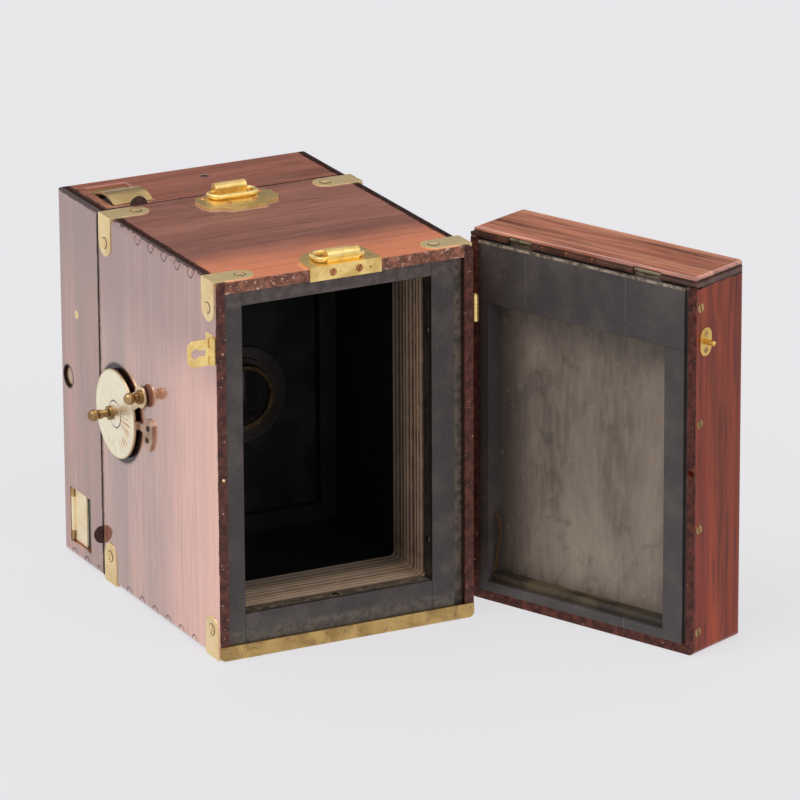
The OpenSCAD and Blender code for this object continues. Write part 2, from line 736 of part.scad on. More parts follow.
// Turned ball knob that stands on a plate: flange, neck and ball, with a rivet through the plate
module ball_knob(height, hole_depth) {
    translate([0, 0, height]) sphere(d = ball_d);
    cylinder(d = 4, h = height);
    cylinder(d = 7.4, h = 1.4);
    translate([0, 0, height - ball_d / 2 - 1.2]) cylinder(d = 5, h = 1.6);
    translate([0, 0, -hole_depth]) cylinder(d = 2.4, h = hole_depth + 1);
}
module focus_knob() color([0.68, 0.52, 0.24]) at_lug(disc_under + disc_t) ball_knob(5.8, disc_t);

// Clamping disc in the middle, on an arbor through the hollow spindle
module clamp_disc() color([0.90, 0.84, 0.62]) difference() {
    union() {
        at_disc(disc_under + 0.65) cylinder(d = clamp_d, h = clamp_face - disc_under - 0.65);
        at_disc(pinion_x + 0.2) cylinder(d = arbor_d, h = clamp_face - pinion_x - 1);
        at_disc(pinion_x + 0.2) cylinder(d = rivet_head_d, h = 0.7);
    }
    at_disc(clamp_face - 1) translate([1.2, 2.4, 0]) cylinder(d = 1.8, h = 2);
    translate([0, clamp_knob_at[0], clamp_knob_at[1]]) at_disc(clamp_face - 2) cylinder(d = 2.4, h = 4);
}
module clamp_knob() color([0.68, 0.52, 0.24])
    translate([0, clamp_knob_at[0], clamp_knob_at[1]]) at_disc(clamp_face) ball_knob(9.6, 1.2);

// Click spring: a plate riveted to the side, whose tongue bears on the edge of the disc
module click_rivets_at() {
    for (p = click_rivets) translate([half_w + 1.5, click_at[0] + p[0], click_at[1] + p[1]])
        rotate([0, 90, 0]) children();
}
module click_spring() color([0.60, 0.45, 0.22]) difference() {
    tongue_y = -disc_y + disc_d / 2 + 0.5;
    union() {
        side_plate(half_w, 1.5) translate(click_at) polygon([[5.5, -2], [5.5, 6], [2, 8.5], [-3, 7.5],
            [-5.5, 4], [-5.5, -2], [-2, -8.5], [2, -8.5]]);
        side_plate(half_w + 0.2, 1.1) translate([tongue_y, click_at[1] - 0.5])
            square([click_at[0] - 4 - tongue_y, 4.2]);
        side_plate(half_w + 0.2, 2.6) translate([tongue_y, click_at[1] - 0.5]) square([1, 4.2]);
    }
    click_rivets_at() translate([0, 0, -3]) cylinder(d = 1.6, h = 4);
}

// Front section: two sides, top and bottom, with a panel let in between them
module front_sides() color([0.42, 0.15, 0.10]) difference() {
    intersection() {
        front_prism();
        union() {
            block([in_x, front_y, 0], [half_w, seam_y, case_h]);
            block([-half_w, front_y, 0], [-in_x, seam_y, case_h]);
        }
    }
    xrod([in_x - 1, button_y, button_z], button_d + 2 * fit, side_t + 2);
    block([in_x - 1, side_win_y[0], side_win_z[0]], [half_w + 1, side_win_y[1], side_win_z[1]]);
    front_hinge_cuts(-1);
}
// Body outline with its front edges rounded as well
module front_prism() {
    intersection() {
        body_prism(front_y, seam_y);
        translate([-half_w, front_y, -1]) linear_extrude(case_h + 2) round_front(case_w);
        translate([half_w + 1, front_y, 0]) rotate([90, 0, -90]) mirror([1, 0, 0])
            linear_extrude(case_w + 2) round_front_side();
    }
}
module round_front(w) {
    translate([edge_r, 0]) square([w - 2 * edge_r, front_d]);
    translate([0, edge_r]) square([w, front_d - edge_r]);
    for (x = [edge_r, w - edge_r]) translate([x, edge_r]) circle(edge_r);
}
module round_front_side() {
    translate([edge_r, 0]) square([front_d, case_h]);
    translate([0, edge_r]) square([front_d, case_h - 2 * edge_r]);
    for (y = [edge_r, case_h - edge_r]) translate([edge_r, y]) circle(edge_r);
}
module front_top_bottom() color([0.48, 0.17, 0.10]) difference() {
    intersection() {
        front_prism();
        union() {
            block([-in_x, front_y, in_top], [in_x, seam_y, case_h]);
            block([-in_x, front_y, 0], [in_x, seam_y, top_t]);
        }
    }
    block([finder_x0, finder_y0, in_top - 1], [finder_x1, finder_y1, case_h + 1]);
}
module front_panel() color([0.42, 0.15, 0.10]) difference() {
    block([-in_x, front_y, top_t], [in_x, front_y + panel_t, in_top]);
    translate([lens_x, front_y - 1, lens_z]) rotate([-90, 0, 0]) cylinder(d = port_d, h = panel_t + 2);
    xrod([in_x - button_pocket, button_y, button_z], button_d + 2, button_pocket + 1);
    for (p = [top_finder, side_finder])
        translate([p[0], front_y - 1, p[1]]) rotate([-90, 0, 0]) cylinder(d = finder_hole_d, h = panel_t + 2);
}
// Leather pull tabs fixed to the rear edge of the front section
module pull_tabs() color([0.20, 0.08, 0.06]) {
    translate([48.4, seam_y, 0]) tab_shape(case_h, 5.2);
    translate([0, seam_y, 24]) rotate([0, 90, 0]) tab_shape(half_w, 5.8);
}
module tab_shape(base, out) {
    r = 5;
    rotate([90, 0, 0]) mirror([0, 0, 1]) linear_extrude(tab_t) {
        translate([-r, base - 4]) square([2 * r, 4 + out - r]);
        translate([0, base + out - r]) circle(r);
    }
}
// Front hinges on the right side, with their pins
module front_leaf(s, k) {
    // s is +1 for the leaf on the case and -1 for the leaf on the front section
    fifth = front_hinge_h / 5;
    root = front_barrel_d / 2 + clear;
    y0 = front_axis_y + s * root;
    y1 = y0 + s * front_hinge_leaf;
    difference() {
        union() {
            block([-half_w - hinge_leaf_t, min(y0, y1), 0], [-half_w, max(y0, y1), front_hinge_h]);
            for (i = k) translate([front_axis_x, front_axis_y, i * fifth + slip / 2]) {
                cylinder(d = front_barrel_d, h = fifth - slip);
                translate([0, s > 0 ? 0 : -root - 0.3, 0])
                    cube([front_barrel_d / 2, root + 0.3, fifth - slip]);
            }
        }
        translate([front_axis_x, front_axis_y, -1])
            cylinder(d = front_pin_d + (s > 0 ? 0 : 2 * fit), h = front_hinge_h + 2);
        for (z = front_leaf_screw_z) leaf_screw_at(s, z)
            translate([0, 0, -3]) cylinder(d = front_leaf_screw_d, h = 4);
    }
    for (z = front_leaf_screw_z) leaf_screw_at(s, z) wood_screw(front_leaf_screw_d, 4, 60);
}
module leaf_screw_at(s, z) {
    translate([-half_w - hinge_leaf_t, front_axis_y + s * 9, z]) rotate([0, -90, 0]) children();
}
module front_hinges_fixed() color([0.74, 0.58, 0.28]) for (z = front_hinge_z) {
    translate([0, 0, z - front_hinge_h / 2]) front_leaf(1, [0, 2, 4]);
    translate([front_axis_x, front_axis_y, z - front_hinge_h / 2]) cylinder(d = front_pin_d, h = front_hinge_h);
}
module front_hinge_leaves() color([0.74, 0.58, 0.28])
    for (z = front_hinge_z) translate([0, 0, z - front_hinge_h / 2]) front_leaf(-1, [1, 3]);
// Screw holes of the front hinges, in the case for s = 1 and in the front section for s = -1
module front_hinge_cuts(s) {
    for (z = front_hinge_z, dz = front_leaf_screw_z) translate([0, 0, z - front_hinge_h / 2])
        leaf_screw_at(s, dz) translate([0, 0, -6]) cylinder(d = front_leaf_screw_d / 2, h = 6);
}

// Finder boxes: a dark box with a sloping back behind each finder opening
module finder_boxes() color([0.06, 0.06, 0.06]) {
    yf = front_y + panel_t;
    z0 = in_top - (finder_y1 - yf);
    for (x = [finder_x0 - box_t, finder_x1])
        side_plate(x, box_t) polygon([[yf, z0 - slope_t], [yf, in_top], [finder_y1 + box_t, in_top],
            [finder_y1 + box_t, in_top - slope_t]]);
    side_plate(finder_x0, finder_w) polygon([[yf, z0 - slope_t], [yf, z0], [finder_y1, in_top],
        [finder_y1 + box_t, in_top], [finder_y1 + box_t, in_top - slope_t]]);
    x0 = in_x - (side_win_y[1] - yf);
    for (z = [[top_t, side_win_z[0]], [side_win_z[1], side_win_z[1] + box_t]])
        translate([0, 0, z[0]]) linear_extrude(z[1] - z[0])
            polygon([[x0 - slope_t, yf], [in_x, yf], [in_x, side_win_y[1] + box_t],
            [in_x - slope_t, side_win_y[1] + box_t]]);
    translate([0, 0, side_win_z[0]]) linear_extrude(side_win_z[1] - side_win_z[0])
        polygon([[x0 - slope_t, yf], [x0, yf], [in_x, side_win_y[1]], [in_x, side_win_y[1] + box_t],
            [in_x - slope_t, side_win_y[1] + box_t]]);
}
// Mirror on each sloping back, and the ground glass in each opening
module finder_optics() color([0.75, 0.80, 0.82]) {
    side_plate(finder_x0 + 1, finder_w - 2) polygon([for (p = [[4, 0], [finder_deep, 0], [finder_deep, glass_t],
        [4, glass_t]]) [finder_y1 - p[0], in_top - p[0] + p[1]]]);
    block([finder_x0 + fit, finder_y0 + fit, in_top], [finder_x1 - fit, finder_y1 - fit, in_top + glass_t]);
    translate([0, 0, side_win_z[0] + 1]) linear_extrude(side_win_z[1] - side_win_z[0] - 2)
        polygon([for (p = [[4, 0], [24, 0], [24, glass_t], [4, glass_t]])
            [in_x - p[0] + p[1], side_win_y[1] - p[0]]]);
    block([in_x, side_win_y[0] + fit, side_win_z[0] + fit],
        [in_x + 1.2, side_win_y[1] - fit, side_win_z[1] - fit]);
}
// Finder lids: the top one vaulted, the side one flat, both hinged at their front edge
module finder_hinges() color([0.70, 0.55, 0.28]) {
    ends = [finder_x0 + 0.5, finder_x1 - 0.5 - finder_knuckle];
    for (x = ends) xrod([x, top_lid_y, top_lid_z], finder_barrel_d, finder_knuckle);
    xrod([finder_x0 + 0.5, top_lid_y, top_lid_z], finder_pin_d, finder_w - 1);
    for (x = ends) block([x, finder_y0 + 1, case_h - 2.6], [x + finder_knuckle, top_lid_y, case_h - 1.6]);
    block([finder_x0 + fit, finder_y0 + fit, case_h - 2.6], [finder_x1 - fit, top_lid_y - 1.6, case_h - 1.6]);
    z_ends = [side_win_z[0] + 0.5, side_win_z[1] - 0.5 - finder_knuckle];
    for (z = z_ends) {
        translate([side_lid_x, side_lid_y, z]) cylinder(d = finder_barrel_d, h = finder_knuckle);
        block([side_lid_x - 0.6, side_win_y[0], z], [side_lid_x + 0.6, side_lid_y, z + finder_knuckle]);
    }
    translate([side_lid_x, side_lid_y, z_ends[0]]) cylinder(d = finder_pin_d, h = z_ends[1] - z_ends[0]);
}
module finder_lid_top() color([0.80, 0.66, 0.32]) difference() {
    chord = finder_y1 - 0.5 - (top_lid_y + 1.6);
    rise = 3;
    r = (chord * chord / 4 + rise * rise) / (2 * rise);
    mid = [top_lid_y + 1.6 + chord / 2, case_h + 0.3 + rise - r];
    inner = finder_w - 1.2 - 2 * finder_knuckle;
    union() {
        side_plate(finder_x0 + 0.4, finder_w - 0.8) intersection() {
            difference() {
                translate(mid) circle(r, $fn = 160);
                translate(mid) circle(r - lid_sheet, $fn = 160);
            }
            translate([top_lid_y + 1.6, case_h - 2]) square([chord, 10]);
        }
        xrod([(finder_x0 + finder_x1 - inner) / 2, top_lid_y, top_lid_z], finder_barrel_d, inner);
        block([(finder_x0 + finder_x1 - inner) / 2, top_lid_y, case_h - 0.9],
            [(finder_x0 + finder_x1 + inner) / 2, top_lid_y + 2.2, case_h + 0.1]);
    }
    xrod([finder_x0, top_lid_y, top_lid_z], finder_pin_d + 2 * fit, finder_w);
}
module finder_lid_side() color([0.62, 0.50, 0.26]) difference() {
    z0 = side_win_z[0] + 0.6 + finder_knuckle;
    z1 = side_win_z[1] - 0.6 - finder_knuckle;
    union() {
        block([side_lid_x - 1.2, side_lid_y + 1.6, side_win_z[0] + 0.4],
            [side_lid_x - 1.2 + lid_sheet, side_lid_y + side_lid_len, side_win_z[1] - 0.4]);
        block([side_lid_x - 1.2, side_lid_y, z0], [side_lid_x - 1.2 + lid_sheet, side_lid_y + 2, z1]);
        translate([side_lid_x, side_lid_y, z0]) cylinder(d = finder_barrel_d, h = z1 - z0);
    }
    translate([side_lid_x, side_lid_y, z0 - 1]) cylinder(d = finder_pin_d + 2 * fit, h = z1 - z0 + 2);
}

// Shutter behind the front panel: a board with the light hole, and a blade that swings aside
module shutter_board() color([0.07, 0.07, 0.07]) difference() {
    block([-in_x, shutter_y, top_t], [shutter_x1, shutter_y + shutter_t, in_top]);
    translate([lens_x, shutter_y - 1, lens_z]) rotate([-90, 0, 0]) cylinder(d = at_hole_d, h = shutter_t + 2);
    yrod([lens_x, shutter_y - 1, shutter_pivot_z], shutter_pin_d + 2 * fit, shutter_t + 2);
}
module shutter_blade() color([0.16, 0.16, 0.17]) {
    y = shutter_y - 0.4 - blade_t;
    translate([0, y + blade_t, 0]) rotate([90, 0, 0]) linear_extrude(blade_t) {
        translate([lens_x, lens_z]) circle(blade_r);
        translate([lens_x - 5, lens_z]) square([10, shutter_pivot_z - lens_z]);
        translate([lens_x, shutter_pivot_z]) circle(6);
    }
    yrod([lens_x, y - 1.2, shutter_pivot_z], 5, 1.3);
    yrod([lens_x, y, shutter_pivot_z], shutter_pin_d, blade_t + 0.3 + shutter_t);
}
// Release button in the left side, with the stem that reaches in to the shutter
module release_button() color([0.30, 0.10, 0.07]) {
    xrod([in_x - 0.5, button_y, button_z], button_d, button_face - in_x + 0.5);
    xrod([shutter_x1 + 6, button_y, button_z], 3.5, in_x - shutter_x1 - 6);
    xrod([in_x - 3, button_y, button_z], 5, 3);
}

// Back, drawn closed: u runs across from the right side, t away from the case, and z up
module at_back() {
    translate([stand_x, stand_y, 0]) rotate(stand_turn)
        translate([-stand_x - half_w, -stand_y + back_gap, 0]) children();
}
// Runs its children at both ends of the back: e is 0 for the right end and 1 for the left end
module at_end(e, t, z) {
    translate([e * case_w, t, z]) rotate([0, e == 0 ? -90 : 90, 0]) children();
}
module back_prism(z1) {
    intersection() {
        translate([0, back_d, 0]) rotate([90, 0, 0]) linear_extrude(back_d) round_rect(case_w, case_h, edge_r);
        translate([0, back_d, -1]) mirror([0, 1, 0]) linear_extrude(case_h + 2) round_back();
        block([-1, -1, -1], [case_w + 1, back_d + 1, z1]);
    }
}
module round_back() {
    translate([edge_r, 0]) square([case_w - 2 * edge_r, back_d]);
    translate([0, edge_r]) square([case_w, back_d - edge_r]);
    for (u = [edge_r, case_w - edge_r]) translate([u, edge_r]) circle(edge_r);
}
module lid_cove() { xrod([-1, lid_axis_t, lid_axis_z], 2 * lid_roll + 0.3, case_w + 2); }
module back_boards() color([0.46, 0.17, 0.11]) at_back() difference() {
    back_prism(lid_z);
    block([side_t, -1, back_bottom_t], [case_w - side_t, back_d - rear_t, case_h]);
    block([side_t, -1, back_bottom_t], [case_w - side_t, back_d + 1, case_h]);
    lid_cove();
    yrod([half_w + half_w - pin_in, -1, pin_z], 3.4, 4);
    for (e = [0, 1]) {
        at_end(e, stud_t[e], stud_z) {
            stud_plate_shape();
            for (x = [-1, 1]) translate([x * stud_screw_x, 0, -4]) cylinder(d = stud_screw_d / 2, h = 4);
        }
        for (z = back_screw_z) at_end(e, back_screw_t, z) screw_seat(back_screw_d, 6);
    }
}
module back_panel() color([0.42, 0.15, 0.10]) at_back() intersection() {
    block([side_t, back_d - rear_t, back_bottom_t], [case_w - side_t, back_d, lid_z]);
    back_prism(lid_z);
}
// Black frame round the recess: two stiles, a bottom rail, and a top rail in three pieces
module back_frame() color([0.07, 0.07, 0.07]) at_back() difference() {
    union() {
        block([side_t, 0, back_bottom_t], [recess_u, frame_depth, rail_top]);
        block([recess_u1, 0, back_bottom_t], [stile_u, frame_depth, rail_top]);
        block([stile_u, channel, back_bottom_t], [case_w - side_t, frame_depth, rail_top]);
        block([recess_u, 0, back_bottom_t], [recess_u1, frame_depth, recess_z]);
        rail_piece(recess_u, rail_joints[0]);
        rail_piece(rail_joints[0], rail_joints[1]);
        rail_piece(rail_joints[1], recess_u1);
    }
    lid_cove();
    for (i = [0, 1]) lid_leaf(i);
    xrod([recess_u - spring_foot, 5, recess_z + 37], spring_w, spring_foot);
    for (e = [0, 1], z = back_screw_z)
        at_end(e, back_screw_t, z) translate([0, 0, -10]) cylinder(d = back_screw_d / 2, h = 10);
}
module rail_piece(u0, u1) {
    block([u0, 0, rail_z], [u1, frame_depth, rail_top]);
}
module recess_panel() color([0.30, 0.22, 0.19]) at_back()
    block([side_t, frame_depth, back_bottom_t], [case_w - side_t, frame_depth + divider_t, rail_top]);
// Ledge on the bottom rail, with the slot that the plate holder stands in
module plate_ledge() color([0.10, 0.09, 0.08]) at_back() difference() {
    block([recess_u + 0.5, 3, recess_z], [recess_u1 - 0.5, frame_depth, recess_z + 3.6]);
    block([56, 5.5, recess_z + 1], [90, 7.5, recess_z + 5]);
}
// Bow spring of flat wire on the recess's wall, held at its upper end
module plate_spring() color([0.55, 0.50, 0.42]) at_back() {
    bow = [[0, 4.5], [1.1, 12], [3.2, 26], [2.3, 33], [-0.5, 37]];
    translate([recess_u + 0.3, 5.6, recess_z]) rotate([90, 0, 0]) linear_extrude(spring_w)
        polygon(concat([for (p = bow) p], [for (i = [len(bow) - 1 : -1 : 0]) bow[i] + [1, 0.3]]));
    xrod([recess_u - spring_foot, 5, recess_z + 37], spring_w, spring_foot + 0.8);
}
// Oval plate with the stud that the hasp closes over, drawn with +Z outwards
module stud_plate_shape() {
    translate([0, 0, -0.8]) linear_extrude(brass_t) for (x = [-2.8, 2.8]) translate([x, 0]) circle(d = 9.2);
    translate([-2.8, -4.6, -0.8]) cube([5.6, 9.2, brass_t]);
}
module stud_plates() color([0.78, 0.62, 0.30]) at_back() for (e = [0, 1]) at_end(e, stud_t[e], stud_z) {
    difference() {
        stud_plate_shape();
        stud_screws_at() screw_seat(stud_screw_d, 4);
    }
    cylinder(d = stud_d, h = stud_out - 1);
    translate([0, 0, stud_out - stud_d / 2]) sphere(d = stud_d);
}
module stud_screws_at() for (x = [-1, 1]) translate([x * stud_screw_x, 0, 0.4 - slip]) children();
module back_screws() color([0.66, 0.48, 0.26]) at_back() for (e = [0, 1]) {
    for (z = back_screw_z) at_end(e, back_screw_t, z) wood_screw(back_screw_d, 8, 15);
    at_end(e, stud_t[e], stud_z) stud_screws_at() wood_screw(stud_screw_d, 4, 80);
}
// Hinges of the lid: the fixed leaves stand in the top rail and carry the pins
module lid_leaf(i) {
    len = lid_hinge_len[i];
    block([lid_hinge_u[i] - len / 2, lid_axis_t - 0.6, lid_z - 8],
        [lid_hinge_u[i] + len / 2, lid_axis_t + 0.6, lid_axis_z - lid_barrel_d / 2 - clear]);
}
module lid_hinges_fixed() color([0.60, 0.48, 0.28]) at_back() for (i = [0, 1]) {
    third = lid_hinge_len[i] / 3;
    u0 = lid_hinge_u[i] - lid_hinge_len[i] / 2;
    lid_leaf(i);
    for (k = [0, 2]) {
        xrod([u0 + k * third, lid_axis_t, lid_axis_z], lid_barrel_d, third);
        block([u0 + k * third, lid_axis_t - 0.6, lid_axis_z - 4],
            [u0 + (k + 1) * third, lid_axis_t + 0.6, lid_axis_z]);
    }
    xrod([u0, lid_axis_t, lid_axis_z], lid_pin_d, 3 * third);
}
module lid_hinge_leaves() color([0.60, 0.48, 0.28]) at_back() for (i = [0, 1]) difference() {
    third = lid_hinge_len[i] / 3;
    u0 = lid_hinge_u[i] - lid_hinge_len[i] / 2 + third + slip;
    union() {
        xrod([u0, lid_axis_t, lid_axis_z], lid_barrel_d, third - 2 * slip);
        lid_leaf_out(i);
    }
    xrod([u0 - 1, lid_axis_t, lid_axis_z], lid_pin_d + 2 * fit, third + 2);
}
// Leaf let into the lid, from the barrel to beyond the knuckles
module lid_leaf_out(i) {
    third = lid_hinge_len[i] / 3;
    block([lid_hinge_u[i] - third / 2 + slip, lid_axis_t, lid_axis_z - 0.6],
        [lid_hinge_u[i] + third / 2 - slip, lid_axis_t + 10, lid_axis_z + 0.6]);
}
module back_lid() color([0.48, 0.18, 0.11]) at_back() difference() {
    intersection() {
        back_prism(case_h + 1);
        union() {
            block([0, lid_axis_t, lid_z], [case_w, back_d, case_h]);
            intersection() {
                xrod([0, lid_axis_t, lid_axis_z], 2 * lid_roll, case_w);
                block([0, 0, lid_z], [case_w, lid_axis_t + 1, case_h]);
            }
        }
    }
    for (i = [0, 1]) {
        block([lid_hinge_u[i] - lid_hinge_len[i] / 2 - 0.3, -1, lid_z - 1],
            [lid_hinge_u[i] + lid_hinge_len[i] / 2 + 0.3, lid_axis_t + lid_barrel_d / 2 + clear,
            lid_axis_z + lid_barrel_d / 2 + clear]);
        lid_leaf_out(i);
    }
    block([-1, -1, case_h - lid_slab], [case_w + 1, lid_step, case_h + 1]);
    for (u = [-1, case_w - lid_step]) block([u, -1, case_h - lid_slab], [u + lid_step + 1, back_d + 1, case_h + 1]);
}
// Catch on the free edge of the lid
module lid_catch() color([0.16, 0.13, 0.10]) at_back() {
    block([case_w / 2 - 5, back_d, lid_z - 5], [case_w / 2 + 5, back_d + 1.2, lid_z + 4]);
    xrod([case_w / 2 - 4, back_d + 1.4, lid_z + 2], 1.8, 8);
}

// Puts a piece in the part's frame
module placed() { translate([0, case_d / 2, 0]) children(); }

placed() case_left_side();
placed() case_right_side();
placed() case_top();
placed() case_bottom();
placed() rear_frame();
placed() frame_screws();
placed() sill_strip();
placed() corner_brackets();
placed() bracket_screws();
placed() handle_plate_front();
placed() handle_plate_rear();
placed() fitting_screws();
placed() hasp_hinges();
placed() locating_pin();
placed() carriage_runners();
placed() focus_bush();
placed() click_spring();
placed() front_hinges_fixed();
placed() bellows();
placed() carriage_box();
placed() lens_board();
placed() lens_flange();
placed() flange_screws();
placed() lens_barrel();
placed() lens_glasses();
placed() focus_rack();
placed() focus_disc();
placed() focus_spindle();
placed() focus_knob();
placed() clamp_disc();
placed() clamp_knob();
placed() front_sides();
placed() front_top_bottom();
placed() front_panel();
placed() front_hinge_leaves();
placed() pull_tabs();
placed() finder_boxes();
placed() finder_optics();
placed() finder_hinges();
placed() shutter_board();
placed() finder_lid_top();
placed() finder_lid_side();
placed() shutter_blade();
placed() release_button();
placed() hasp_plate_left();
placed() hasp_plate_right();
placed() ring_front();
placed() ring_rear();
placed() back_boards();
placed() back_panel();
placed() back_frame();
placed() recess_panel();
placed() plate_ledge();
placed() plate_spring();
placed() stud_plates();
placed() back_screws();
placed() lid_hinges_fixed();
placed() back_lid();
placed() lid_hinge_leaves();
placed() lid_catch();
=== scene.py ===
"""Detective camera in polished rosewood, with its lift-off back standing beside it."""
import math

import bpy
from mathutils import Matrix, Vector


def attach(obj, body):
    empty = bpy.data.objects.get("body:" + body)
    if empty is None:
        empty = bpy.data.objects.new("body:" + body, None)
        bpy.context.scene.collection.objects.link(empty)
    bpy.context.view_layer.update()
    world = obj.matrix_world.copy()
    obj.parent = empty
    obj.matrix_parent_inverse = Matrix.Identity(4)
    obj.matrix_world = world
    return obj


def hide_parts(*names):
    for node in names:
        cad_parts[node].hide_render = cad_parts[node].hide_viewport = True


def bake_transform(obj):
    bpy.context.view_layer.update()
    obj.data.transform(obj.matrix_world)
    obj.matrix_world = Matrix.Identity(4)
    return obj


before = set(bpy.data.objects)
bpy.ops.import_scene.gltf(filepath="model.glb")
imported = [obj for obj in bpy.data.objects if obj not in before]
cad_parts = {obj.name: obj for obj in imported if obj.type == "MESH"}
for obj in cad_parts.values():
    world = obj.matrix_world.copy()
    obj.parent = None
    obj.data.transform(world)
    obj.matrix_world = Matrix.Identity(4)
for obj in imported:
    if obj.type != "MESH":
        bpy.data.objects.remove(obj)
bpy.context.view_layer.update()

# Stage: a pale table and soft studio light. The table is one plain sheet, and the two
# lamps are weak and wide, so that the polish and the brass show the pale room.
PAPER = (0.799, 0.791, 0.815)
MM = 0.001
REAR_PLANE = 70.5


def at(x, y, z):
    """A place in the scene, from millimetres; y is counted from the rear plane of the case."""
    return Vector((x, y + REAR_PLANE, z)) * MM


def link(tree, source, target):
    tree.links.new(source, target)


def blank_material(name):
    material = bpy.data.materials.new(name)
    material.use_nodes = True
    tree = material.node_tree
    return material, tree, tree.nodes["Principled BSDF"]


def new_node(tree, kind, **settings):
    node = tree.nodes.new(kind)
    for key, value in settings.items():
        setattr(node, key, value)
    return node


def deselect():
    if bpy.context.object and bpy.context.object.mode != "OBJECT":
        bpy.ops.object.mode_set(mode="OBJECT")
    bpy.ops.object.select_all(action="DESELECT")


deselect()
bpy.ops.mesh.primitive_plane_add(size=12, location=(0, 0, -0.0003))
table = bpy.context.object
table.name = "table"
paper, tree, shader = blank_material("table_paper")
shader.inputs["Base Color"].default_value = (*(0.20 * part for part in PAPER), 1)
shader.inputs["Emission Color"].default_value = (*PAPER, 1)
shader.inputs["Emission Strength"].default_value = 0.80
shader.inputs["Roughness"].default_value = 0.9
shader.inputs["Specular IOR Level"].default_value = 0.1
table.data.materials.append(paper)

world = bpy.data.worlds.new("studio")
bpy.context.scene.world = world
world.use_nodes = True
tree = world.node_tree
room = tree.nodes["Background"]
room.inputs["Color"].default_value = (1, 1, 1, 1)
room.inputs["Strength"].default_value = 0.62
shown = new_node(tree, "ShaderNodeBackground")
shown.inputs["Color"].default_value = (*PAPER, 1)
path = new_node(tree, "ShaderNodeLightPath")
seen_or_mirrored = new_node(tree, "ShaderNodeMath", operation="MAXIMUM")
seen_anyhow = new_node(tree, "ShaderNodeMath", operation="MAXIMUM")
mix = new_node(tree, "ShaderNodeMixShader")
link(tree, path.outputs["Is Camera Ray"], seen_or_mirrored.inputs[0])
link(tree, path.outputs["Is Glossy Ray"], seen_or_mirrored.inputs[1])
link(tree, seen_or_mirrored.outputs[0], seen_anyhow.inputs[0])
link(tree, path.outputs["Is Transmission Ray"], seen_anyhow.inputs[1])
link(tree, seen_anyhow.outputs[0], mix.inputs["Fac"])
link(tree, room.outputs[0], mix.inputs[1])
link(tree, shown.outputs[0], mix.inputs[2])
link(tree, mix.outputs[0], tree.nodes["World Output"].inputs["Surface"])


def add_sun(name, azimuth, elevation, strength, spread):
    """A soft lamp far away; azimuth 0 stands in front of the lens side."""
    deselect()
    bpy.ops.object.light_add(type="SUN")
    lamp = bpy.context.object
    lamp.name = name
    lamp.data.energy = strength
    lamp.data.angle = math.radians(spread)
    lamp.rotation_euler = (math.radians(90 - elevation), 0, math.radians(azimuth))


add_sun("key_lamp", azimuth=95, elevation=62, strength=0.95, spread=35)
add_sun("fill_lamp", azimuth=190, elevation=40, strength=0.45, spread=50)

# Dark card and camera: a small black card stands behind the object, where only the polish
# mirrors it. The camera has the photograph's view, found from the edges of the case.
bpy.ops.mesh.primitive_plane_add(size=1, location=(-0.667, -1.344, 0.66),
                                 rotation=(math.radians(90), 0, math.radians(-26.4)))
card = bpy.context.object
card.name = "dark_card"
card.scale = (0.95, 0.6, 1)
card_black, tree, shader = blank_material("card_black")
shader.inputs["Base Color"].default_value = (0.012, 0.011, 0.011, 1)
shader.inputs["Roughness"].default_value = 1.0
card.data.materials.append(card_black)
card.visible_camera = card.visible_diffuse = card.visible_shadow = False

heading, down, roll = (math.radians(degrees) for degrees in (153.128, 18.555, -0.302))
bpy.ops.object.camera_add()
camera = bpy.context.object
camera.data.lens = 306.2
camera.data.sensor_width = 36
camera.data.clip_end = 30
aim = (Matrix.Rotation(heading, 4, "Z") @ Matrix.Rotation(math.pi / 2 - down, 4, "X")
       @ Matrix.Rotation(roll, 4, "Z"))
camera.matrix_world = Matrix.Translation(at(1444.05, 2909.14, 1218.52)) @ aim
bpy.context.scene.camera = camera
bpy.context.scene.view_settings.view_transform = "Standard"

# Rosewood boards: the case, the front section and the back are dovetail-cut boards with
# rounded long edges, french polished. Grain runs up the sides and across the top.


def group_node(tree, group, **values):
    node = tree.nodes.new("ShaderNodeGroup")
    node.node_tree = group
    for key, value in values.items():
        socket = node.inputs[key]
        if isinstance(value, (int, float, tuple)):
            socket.default_value = value
        else:
            link(tree, value, socket)
    return node


def new_group(name, inputs, outputs):
    """A node group; sockets are given as (name, kind, default)."""
    group = bpy.data.node_groups.new(name, "ShaderNodeTree")
    for title, kind, value in inputs:
        socket = group.interface.new_socket(title, in_out="INPUT", socket_type="NodeSocket" + kind)
        if value is not None:
            socket.default_value = value
    for title, kind in outputs:
        group.interface.new_socket(title, in_out="OUTPUT", socket_type="NodeSocket" + kind)
    return group, group.nodes.new("NodeGroupInput"), group.nodes.new("NodeGroupOutput")


def noise(tree, vector, scale, detail=3.0, distortion=0.0, roughness=0.55):
    node = new_node(tree, "ShaderNodeTexNoise")
    node.inputs["Scale"].default_value = scale
    node.inputs["Detail"].default_value = detail
    node.inputs["Distortion"].default_value = distortion
    node.inputs["Roughness"].default_value = roughness
    link(tree, vector, node.inputs["Vector"])
    return node.outputs["Fac"]


def ramp(tree, value, low, high):
    """Maps low..high of a value to 0..1."""
    node = new_node(tree, "ShaderNodeMapRange", interpolation_type="SMOOTHSTEP")
    node.inputs["From Min"].default_value = low
    node.inputs["From Max"].default_value = high
    link(tree, value, node.inputs["Value"])
    return node.outputs["Result"]


def math_node(tree, operation, a, b=None, c=None):
    node = new_node(tree, "ShaderNodeMath", operation=operation)
    for socket, value in zip(node.inputs, (a, b, c)):
        if value is None:
            continue
        if isinstance(value, (int, float)):
            socket.default_value = value
        else:
            link(tree, value, socket)
    return node.outputs[0]


def times(tree, a, b):
    return math_node(tree, "MULTIPLY", a, b)


